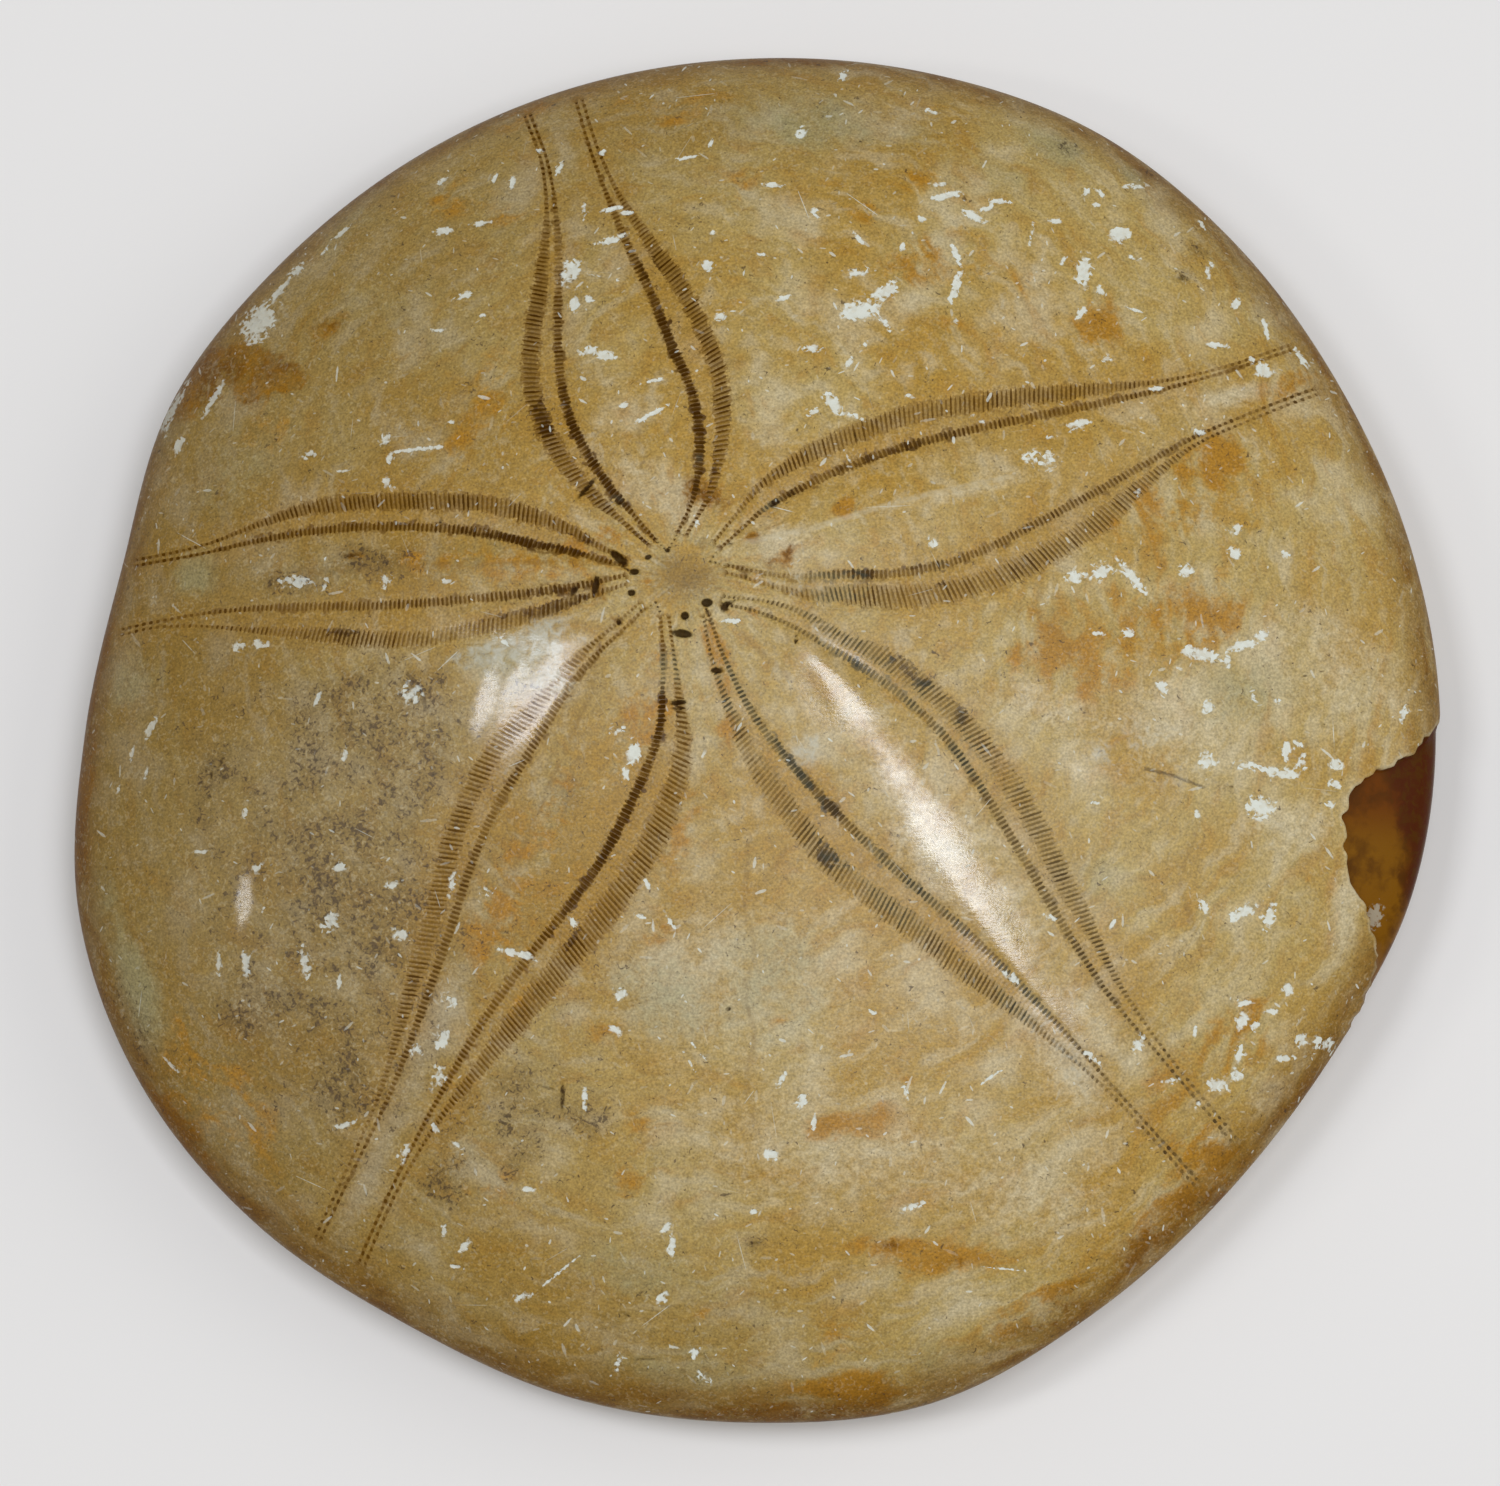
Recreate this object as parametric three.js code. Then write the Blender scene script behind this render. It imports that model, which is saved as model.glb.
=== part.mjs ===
import * as THREE from "three";

// A fossil sand dollar lying on its flat underside, in mm, +Z up.
// The origin is on the floor under the middle of the outline; the front petal points to about +Y.

// Driving dimensions
const HEIGHT = 21; // floor to the apex
const GIRTH_HEIGHT = 7; // height of the widest line round the margin
const EDGE_THICKNESS = 3.5; // rounded shoulder between the girth and the dome
const SHOULDER_POWER = 12; // how tight the shoulder is rounded
const DOME_POWER = 1.8; // how full the dome is between apex and margin
const APEX = new THREE.Vector2(-3.8, 8.5);
const MOUTH = new THREE.Vector2(-1.2, 4.5);

// Radius of the widest line at every 15 degrees, counter-clockwise from +X.
const GIRTH_RADII = [
  48.0, 47.8, 47.8, 48.4, 49.0, 48.6, 48.2, 48.0, 47.8, 47.6, 47.6, 46.2,
  47.1, 49.0, 49.4, 48.8, 47.9, 48.2, 48.3, 48.6, 47.2, 46.3, 46.4, 47.7,
];

// Five petals that spread from the apex: direction in degrees, reach and greatest half-width in mm.
const PETALS = [
  { direction: 105.9, reach: 37, halfWidth: 6.2 },
  { direction: 20.6, reach: 46, halfWidth: 6.3 },
  { direction: -47.7, reach: 54, halfWidth: 6.4 },
  { direction: -118.3, reach: 52, halfWidth: 6.2 },
  { direction: 180.3, reach: 39, halfWidth: 4.8 },
];
const PETAL_RISE = 0.35; // height of a petal's crown over the dome
const WIDEST_AT = 0.36; // where a petal is widest, as a fraction of its reach

// A plate is missing from the right-hand margin and leaves a shallow step.
const BREAK_DIRECTION = -9.5; // degrees, as seen from the middle of the outline
const BREAK_HALF_ANGLE = 11;
const BREAK_INNER = 0.88; // where the step starts, as a fraction of the way to the margin
const BREAK_DEPTH = 0.7;

// Underside: a round-over, a flat band that the fossil rests on, and a hollow round the mouth.
const BAND_OUTER = 0.8; // fractions of the way from the mouth to the margin
const BAND_INNER = 0.6;
const HOLLOW_DEPTH = 1.6;
const MOUTH_RADIUS = 4.5;
const MOUTH_DEPTH = 3;
const FURROW_DEPTH = 0.6; // five shallow furrows that run out from the mouth below the petals

// Mesh density
const SECTORS = 90;
const DOME_RINGS = 22;
const ROUND_OVER_RINGS = 5;
const HOLLOW_RINGS = 12;

const { clamp, degToRad, euclideanModulo, lerp, smoothstep } = THREE.MathUtils;

/** Margin radius at an angle, a smooth closed curve through GIRTH_RADII. */
function girthRadius(angle) {
  const count = GIRTH_RADII.length;
  const place = euclideanModulo((angle / (2 * Math.PI)) * count, count);
  const start = Math.floor(place);
  const t = place - start;
  const at = (offset) => GIRTH_RADII[(start + offset + count) % count];
  const slopeIn = (at(1) - at(-1)) / 2;
  const slopeOut = (at(2) - at(0)) / 2;
  const rise = at(1) - at(0);
  return at(0) + slopeIn * t + (3 * rise - 2 * slopeIn - slopeOut) * t * t
    + (slopeIn + slopeOut - 2 * rise) * t * t * t;
}

function girthPoint(angle) {
  const radius = girthRadius(angle);
  return new THREE.Vector2(radius * Math.cos(angle), radius * Math.sin(angle));
}

/** How far a point of the dome is raised by the petal that it lies on. */
function petalRise(point) {
  let rise = 0;
  for (const { direction, reach, halfWidth } of PETALS) {
    const local = point.clone().sub(APEX).rotateAround(new THREE.Vector2(), -degToRad(direction));
    const along = local.x / reach;
    const tip = smoothstep(along, 0.04, WIDEST_AT) * (1 - 0.7 * smoothstep(along, WIDEST_AT, 1));
    const across = Math.abs(local.y) / Math.max(halfWidth * tip, 0.1);
    const fade = smoothstep(along, 0.1, 0.4) * (1 - smoothstep(along, 0.6, 1));
    rise = Math.max(rise, fade * Math.cos((Math.PI / 2) * Math.min(across, 1)) ** 2);
  }
  return PETAL_RISE * rise;
}

/** Depth of the step left by the missing plate. */
function breakDepth(angle, fraction) {
  const away = euclideanModulo(angle - degToRad(BREAK_DIRECTION) + Math.PI, 2 * Math.PI) - Math.PI;
  const across = 1 - smoothstep(Math.abs(away), degToRad(BREAK_HALF_ANGLE - 3), degToRad(BREAK_HALF_ANGLE));
  return BREAK_DEPTH * across * smoothstep(fraction, BREAK_INNER - 0.02, BREAK_INNER + 0.02);
}

/** A point of the dome; fraction runs from 0 at the apex to 1 at the margin. */
function domePoint(angle, fraction) {
  const place = APEX.clone().lerp(girthPoint(angle), fraction);
  const crown = (HEIGHT - GIRTH_HEIGHT - EDGE_THICKNESS) * (1 - fraction ** DOME_POWER);
  const shoulder = EDGE_THICKNESS * Math.sqrt(Math.max(0, 1 - fraction ** SHOULDER_POWER));
  const depth = fraction < 1 ? breakDepth(angle, fraction) : 0;
  const z = GIRTH_HEIGHT + crown + shoulder + petalRise(place) * (1 - fraction ** 8) - depth;
  return new THREE.Vector3(place.x, place.y, Math.min(z, HEIGHT));
}

/** Height of the underside inside the flat band. */
function hollowHeight(angle, fraction, distance) {
  const inward = clamp(1 - fraction / BAND_INNER, 0, 1);
  const hollow = HOLLOW_DEPTH * smoothstep(inward, 0, 1);
  const mouth = MOUTH_DEPTH * (1 - smoothstep(distance, 0.3 * MOUTH_RADIUS, 1.5 * MOUTH_RADIUS));
  const nearest = Math.max(...PETALS.map(({ direction }) => Math.cos(angle - degToRad(direction))));
  const furrow = FURROW_DEPTH * smoothstep(nearest, 0.93, 1) * smoothstep(inward, 0, 0.35)
    * smoothstep(distance, MOUTH_RADIUS, 2.2 * MOUTH_RADIUS);
  return hollow + mouth + furrow;
}

/** A point of the underside; fraction runs from 0 at the mouth to 1 at the margin. */
function undersidePoint(angle, fraction) {
  const place = MOUTH.clone().lerp(girthPoint(angle), fraction);
  let z = 0;
  if (fraction > BAND_OUTER) {
    const out = (fraction - BAND_OUTER) / (1 - BAND_OUTER);
    z = GIRTH_HEIGHT * (1 - Math.sqrt(Math.max(0, 1 - out * out)));
  } else if (fraction < BAND_INNER) {
    z = hollowHeight(angle, fraction, place.distanceTo(MOUTH));
  }
  return new THREE.Vector3(place.x, place.y, z);
}

/** One closed skin: rings of points from the apex over the margin to the mouth. */
function sandDollarGeometry() {
  const rings = [];
  for (let i = 1; i <= DOME_RINGS; i += 1) {
    const fraction = Math.sin((Math.PI / 2) * (i / DOME_RINGS));
    rings.push((angle) => domePoint(angle, fraction));
  }
  for (let i = 1; i <= ROUND_OVER_RINGS; i += 1) {
    const turn = (Math.PI / 2) * (i / ROUND_OVER_RINGS);
    const fraction = i === ROUND_OVER_RINGS ? BAND_OUTER : lerp(BAND_OUTER, 1, Math.cos(turn));
    rings.push((angle) => undersidePoint(angle, fraction));
  }
  for (let i = 0; i < HOLLOW_RINGS; i += 1) {
    const fraction = BAND_INNER * (1 - i / HOLLOW_RINGS);
    rings.push((angle) => undersidePoint(angle, fraction));
  }

  const points = [domePoint(0, 0)];
  for (const ring of rings) {
    for (let j = 0; j < SECTORS; j += 1) points.push(ring((2 * Math.PI * j) / SECTORS));
  }
  points.push(undersidePoint(0, 0));

  const at = (ring, sector) => 1 + ring * SECTORS + (sector % SECTORS);
  const last = points.length - 1;
  const triangles = [];
  for (let j = 0; j < SECTORS; j += 1) {
    triangles.push(0, at(0, j), at(0, j + 1));
    for (let i = 0; i + 1 < rings.length; i += 1) {
      triangles.push(at(i, j), at(i + 1, j), at(i + 1, j + 1));
      triangles.push(at(i, j), at(i + 1, j + 1), at(i, j + 1));
    }
    triangles.push(at(rings.length - 1, j), last, at(rings.length - 1, j + 1));
  }

  const geometry = new THREE.BufferGeometry().setFromPoints(points);
  geometry.setIndex(triangles);
  geometry.computeVertexNormals();
  return geometry;
}

const stone = new THREE.MeshStandardMaterial({ color: 0xa88a5c, roughness: 0.3, metalness: 0 });
const sandDollar = new THREE.Mesh(sandDollarGeometry(), stone);
sandDollar.name = "sand_dollar";

const fossil = new THREE.Group();
fossil.add(sandDollar);

export default fossil;
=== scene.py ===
"""Looks of a polished fossil sand dollar: one stone with a star of five petals of pores.

Lengths are in mm while the mesh is worked out and become metres when it is made.
"""

import math

import bpy
import numpy as np
from mathutils import Matrix, Vector
from mathutils.geometry import delaunay_2d_cdt


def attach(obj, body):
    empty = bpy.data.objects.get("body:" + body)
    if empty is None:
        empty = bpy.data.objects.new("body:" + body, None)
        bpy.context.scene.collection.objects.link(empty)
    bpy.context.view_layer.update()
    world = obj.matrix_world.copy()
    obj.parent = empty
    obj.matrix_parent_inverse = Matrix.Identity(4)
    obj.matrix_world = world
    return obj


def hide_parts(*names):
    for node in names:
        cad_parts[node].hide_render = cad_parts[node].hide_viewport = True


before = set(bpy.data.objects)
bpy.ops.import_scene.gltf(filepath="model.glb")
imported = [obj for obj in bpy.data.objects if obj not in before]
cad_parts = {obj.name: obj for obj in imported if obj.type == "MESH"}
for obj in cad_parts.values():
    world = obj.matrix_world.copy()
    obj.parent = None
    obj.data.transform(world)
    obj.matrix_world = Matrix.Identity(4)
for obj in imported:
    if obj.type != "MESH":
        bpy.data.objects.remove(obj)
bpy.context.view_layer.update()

MM = 0.001
SEED = 7
rng = np.random.default_rng(SEED)

# ================================================================ the form, as in the CAD model

HEIGHT = 20.8  # a little under the CAD height, to leave room for the unevenness
GIRTH_HEIGHT = 7.0
EDGE_THICKNESS = 3.5
SHOULDER_POWER = 12
DOME_POWER = 1.8
APEX = np.array([-3.8, 8.5])
MOUTH = np.array([-1.2, 4.5])
GIRTH_RADII = np.array([
    48.0, 47.8, 47.8, 48.4, 49.0, 48.6, 48.2, 48.0, 47.8, 47.6, 47.6, 46.2,
    47.1, 49.0, 49.4, 48.8, 47.9, 48.2, 48.3, 48.6, 47.2, 46.3, 46.4, 47.7,
])
BAND_OUTER = 0.8  # the flat band of the underside, as fractions of the way from the mouth to the margin
BAND_INNER = 0.6
HOLLOW_DEPTH = 1.6
MOUTH_RADIUS = 4.5
MOUTH_DEPTH = 3.0
FURROW_DEPTH = 0.6
INSET = 0.06  # how far the fine skin stays inside the CAD outline
CROWN_HEIGHT = 0.25  # of the petals between their inner rows
VALLEY_DEPTH = 0.05  # of the bands that the rows lie in
RIM_STEPS = 1440  # steps round the margin where its distance is looked up by direction

# Petals: direction from the apex, length of the slits of the left and right outer rows, greyness and
# depth of brown of the left and right rows, and stations: distance from the apex, then how far left of
# the petal's axis the left outer, left inner, right inner and right outer rows lie. A crest says where
# the crown is highest: place along the petal, then how far left of its middle.
PETALS = {
    "front": {
        "direction": 105.9, "slits": (1.3, 1.25), "grey": (0, 0), "brown": (1.0, 0.85), "rows": [
            (3, 1.75, 1.1, -0.35, -1.2), (5, 2.95, 2.0, -2.0, -3.2), (7, 4.2, 2.9, -3.0, -4.4),
            (10, 5.6, 3.95, -3.85, -5.55), (13, 6.35, 4.5, -4.0, -6.15), (16, 6.5, 4.4, -3.6, -6.0),
            (20, 5.4, 3.6, -3.2, -5.35), (24, 3.8, 2.55, -2.6, -4.1), (28, 2.45, 1.75, -2.15, -3.0),
            (32, 1.75, 1.3, -1.85, -2.4), (37.5, 2.05, 1.65, -1.75, -2.2)],
    },
    "right_front": {
        "direction": 20.9, "slits": (1.45, 1.75), "grey": (0.1, 0.25), "brown": (0.55, 0.35), "rows": [
            (3, 1.65, 0.95, -0.25, -0.85), (5, 2.85, 1.75, -1.55, -2.35), (7, 4.0, 2.5, -2.6, -3.85),
            (10, 4.85, 3.0, -3.6, -5.1), (13, 5.2, 3.25, -4.7, -6.4), (16, 5.35, 3.3, -5.3, -7.2),
            (20, 5.05, 3.05, -5.35, -7.5), (24, 4.35, 2.6, -4.8, -7.05), (28, 3.45, 2.1, -4.15, -6.1),
            (32, 2.55, 1.6, -3.4, -4.5), (36, 1.8, 1.25, -2.65, -3.2), (40, 1.5, 1.15, -2.25, -2.7),
            (46, 1.85, 1.45, -1.7, -2.15)],
    },
    "right_back": {
        "direction": -47.6, "slits": (1.6, 1.75), "grey": (0.6, 0.5), "brown": (0.1, 0.15), "crest": [
            (9, 3.0), (11, 2.9), (13, 2.1), (19, 0.4), (22, -0.1), (26, -0.8), (30, -1.4), (36, -2.0)],
        "rows": [
            (3, 1.25, 0.6, -0.35, -0.85), (5, 3.0, 2.0, -1.3, -2.1), (7, 4.2, 3.0, -2.0, -3.05),
            (10, 5.0, 4.0, -2.8, -4.2), (13, 6.25, 4.85, -3.15, -5.0), (16, 6.95, 5.45, -3.25, -5.4),
            (20, 7.3, 5.75, -3.15, -5.8), (24, 7.15, 5.25, -2.85, -5.35), (28, 6.4, 4.45, -2.4, -4.6),
            (32, 5.25, 3.6, -2.0, -4.0), (36, 4.25, 2.8, -1.85, -3.3), (40, 3.2, 2.2, -1.75, -2.75),
            (45, 2.5, 2.0, -1.8, -2.25), (53, 2.2, 1.8, -1.7, -2.1)],
    },
    "left_back": {
        "direction": -118.4, "slits": (1.85, 1.4), "grey": (0, 0.15), "brown": (0.55, 0.35), "rows": [
            (3, 0.5, -0.2, -1.3, -1.85), (5, 1.95, 1.1, -1.95, -2.6), (7, 3.35, 2.15, -2.65, -3.4),
            (10, 5.35, 3.45, -3.35, -4.25), (13, 6.25, 3.95, -3.55, -4.95), (16, 6.6, 4.1, -3.75, -5.85),
            (20, 6.4, 4.05, -4.0, -6.0), (24, 5.7, 3.4, -3.7, -5.45), (28, 4.8, 2.6, -3.05, -4.5),
            (32, 3.9, 2.0, -2.5, -3.8), (36, 3.05, 1.65, -2.0, -3.05), (40, 2.25, 1.45, -1.65, -2.35),
            (45, 1.8, 1.35, -1.6, -2.05), (52, 1.9, 1.45, -1.7, -2.1)],
    },
    "left_front": {
        "direction": 179.5, "slits": (1.2, 1.3), "grey": (0.1, 0), "brown": (0.4, 0.9), "rows": [
            (4, 0.45, -0.2, -0.85, -1.4), (5.5, 0.9, 0.15, -1.25, -2.05), (7.5, 1.5, 0.5, -1.8, -3.25),
            (10, 2.3, 0.8, -2.4, -4.3), (14, 3.25, 1.15, -3.45, -5.45), (18, 3.85, 1.35, -3.95, -5.8),
            (22, 3.7, 1.4, -4.2, -5.95), (26, 3.2, 1.25, -4.1, -5.8), (30, 2.7, 1.15, -3.7, -4.85),
            (34, 2.15, 1.25, -3.1, -3.7), (37, 1.95, 1.5, -2.85, -3.3), (41, 2.25, 1.85, -2.75, -3.2)],
    },
}
PORE_PITCH = 0.32  # spacing of the pores along a row
END_PITCH = 0.56  # and where the rows run out towards the margin
TICK = 0.68  # greatest length of an inner pore
DOT = 0.26  # length of a pore where the petal narrows to a row of dots
LEAN = 0.2  # how far the outer slits lean outwards along the row
SLIT_DEPTH = 0.05
TICK_DEPTH = 0.08
ROWS_END = 0.972  # how far out the rows run, as a fraction of the way to the margin

# Where the two inner rows of each petal meet, and a few dots on the way there.
ROW_TIPS = [
    [(-4.9, 10.35), (-5.5, 10.9), (-6.0, 11.4)], [(-4.9, 10.35), (-4.5, 11.0), (-4.2, 11.7)],
    [(-1.95, 9.6), (-1.7, 10.1), (-1.3, 10.5)], [(-1.95, 9.6), (-1.3, 9.4), (-0.7, 9.3)],
    [(-2.2, 6.7), (-2.3, 6.2), (-2.2, 5.6)], [(-2.2, 6.2), (-1.95, 5.5)], [(-1.0, 6.7), (-0.3, 6.9)],
    [(-5.7, 6.8), (-5.4, 6.2)], [(-5.7, 6.8), (-6.2, 6.5), (-6.7, 6.3)],
    [(-7.2, 8.95), (-7.7, 9.1), (-8.0, 9.3)], [(-7.4, 8.8), (-7.9, 8.7)],
]

# Pits and dark marks: x, y, length, width, direction, depth
PITS = [
    (-6.2, 9.95, 0.55, 0.42, 20, 0.12), (-7.35, 7.5, 0.62, 0.5, 0, 0.2), (-3.7, 5.85, 0.62, 0.6, 0, 0.25),
    (-3.9, 4.65, 1.6, 0.6, -8, 0.22), (-2.2, 6.75, 0.85, 0.65, 0, 0.25), (-1.0, 6.4, 0.75, 0.5, 60, 0.2),
    (-0.7, 6.75, 0.8, 0.35, 10, 0.12), (-1.5, 2.1, 1.1, 0.42, -5, 0.15), (-4.9, 10.4, 0.45, 0.35, 0, 0.1),
    (-7.15, 8.95, 0.75, 0.5, 0, 0.2), (-8.25, 9.95, 1.7, 0.62, -42, 0.2), (-9.8, 8.1, 1.6, 0.55, 80, 0.12),
    (-11.3, 7.75, 1.0, 0.5, 60, 0.1), (-10.5, 14.9, 2.0, 0.42, 50, 0.12), (-8.3, 13.8, 0.7, 0.4, 20, 0.08),
    (-4.2, -0.05, 1.4, 0.42, 5, 0.12), (-4.1, -0.45, 1.0, 0.3, 0, 0.08), (3.9, 4.2, 0.85, 0.32, 72, 0.08),
    (-8.2, 5.5, 0.6, 0.4, 100, 0.08), (2.4, 13.7, 1.1, 0.55, 30, 0.06), (3.6, 14.4, 1.2, 0.55, 30, 0.06),
    (-0.6, 10.8, 0.6, 0.3, 10, 0.06), (0.45, 8.6, 0.3, 0.5, 0, 0.06), (-12.35, -26.4, 2.3, 0.4, 88, 0.03),
    (-13.3, -25.85, 1.5, 0.28, -15, 0.02), (38.4, 2.4, 0.8, 0.18, 15, 0.01),
    (39.6, 2.8, 0.6, 0.16, 20, 0.01), (33.3, -5.4, 0.4, 0.28, 0, 0.02), (32.9, -19.5, 0.3, 0.26, 0, 0.04),
    (39.7, -0.9, 0.26, 0.24, 0, 0.03), (-0.9, -20.7, 0.5, 0.35, 30, 0.04), (-27.0, 10.9, 1.5, 0.4, 0, 0.03),
    (-36.9, -3.9, 0.9, 0.3, 80, 0.01), (-36.2, -3.0, 0.9, 0.25, 75, 0.01), (30.3, 30.7, 0.9, 0.5, 20, 0.01),
    (-8.3, -41.0, 0.9, 0.28, -30, 0.01), (-7.0, -44.0, 1.8, 0.25, 0, 0.01),
    (0.7, -36.3, 1.2, 0.25, 5, 0.01), (-18.0, 12.8, 0.4, 0.6, 0, 0.08), (-20.7, 13.0, 0.35, 0.5, 0, 0.08),
    (7.9, 18.4, 0.3, 0.8, 20, 0.05),
]

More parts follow.
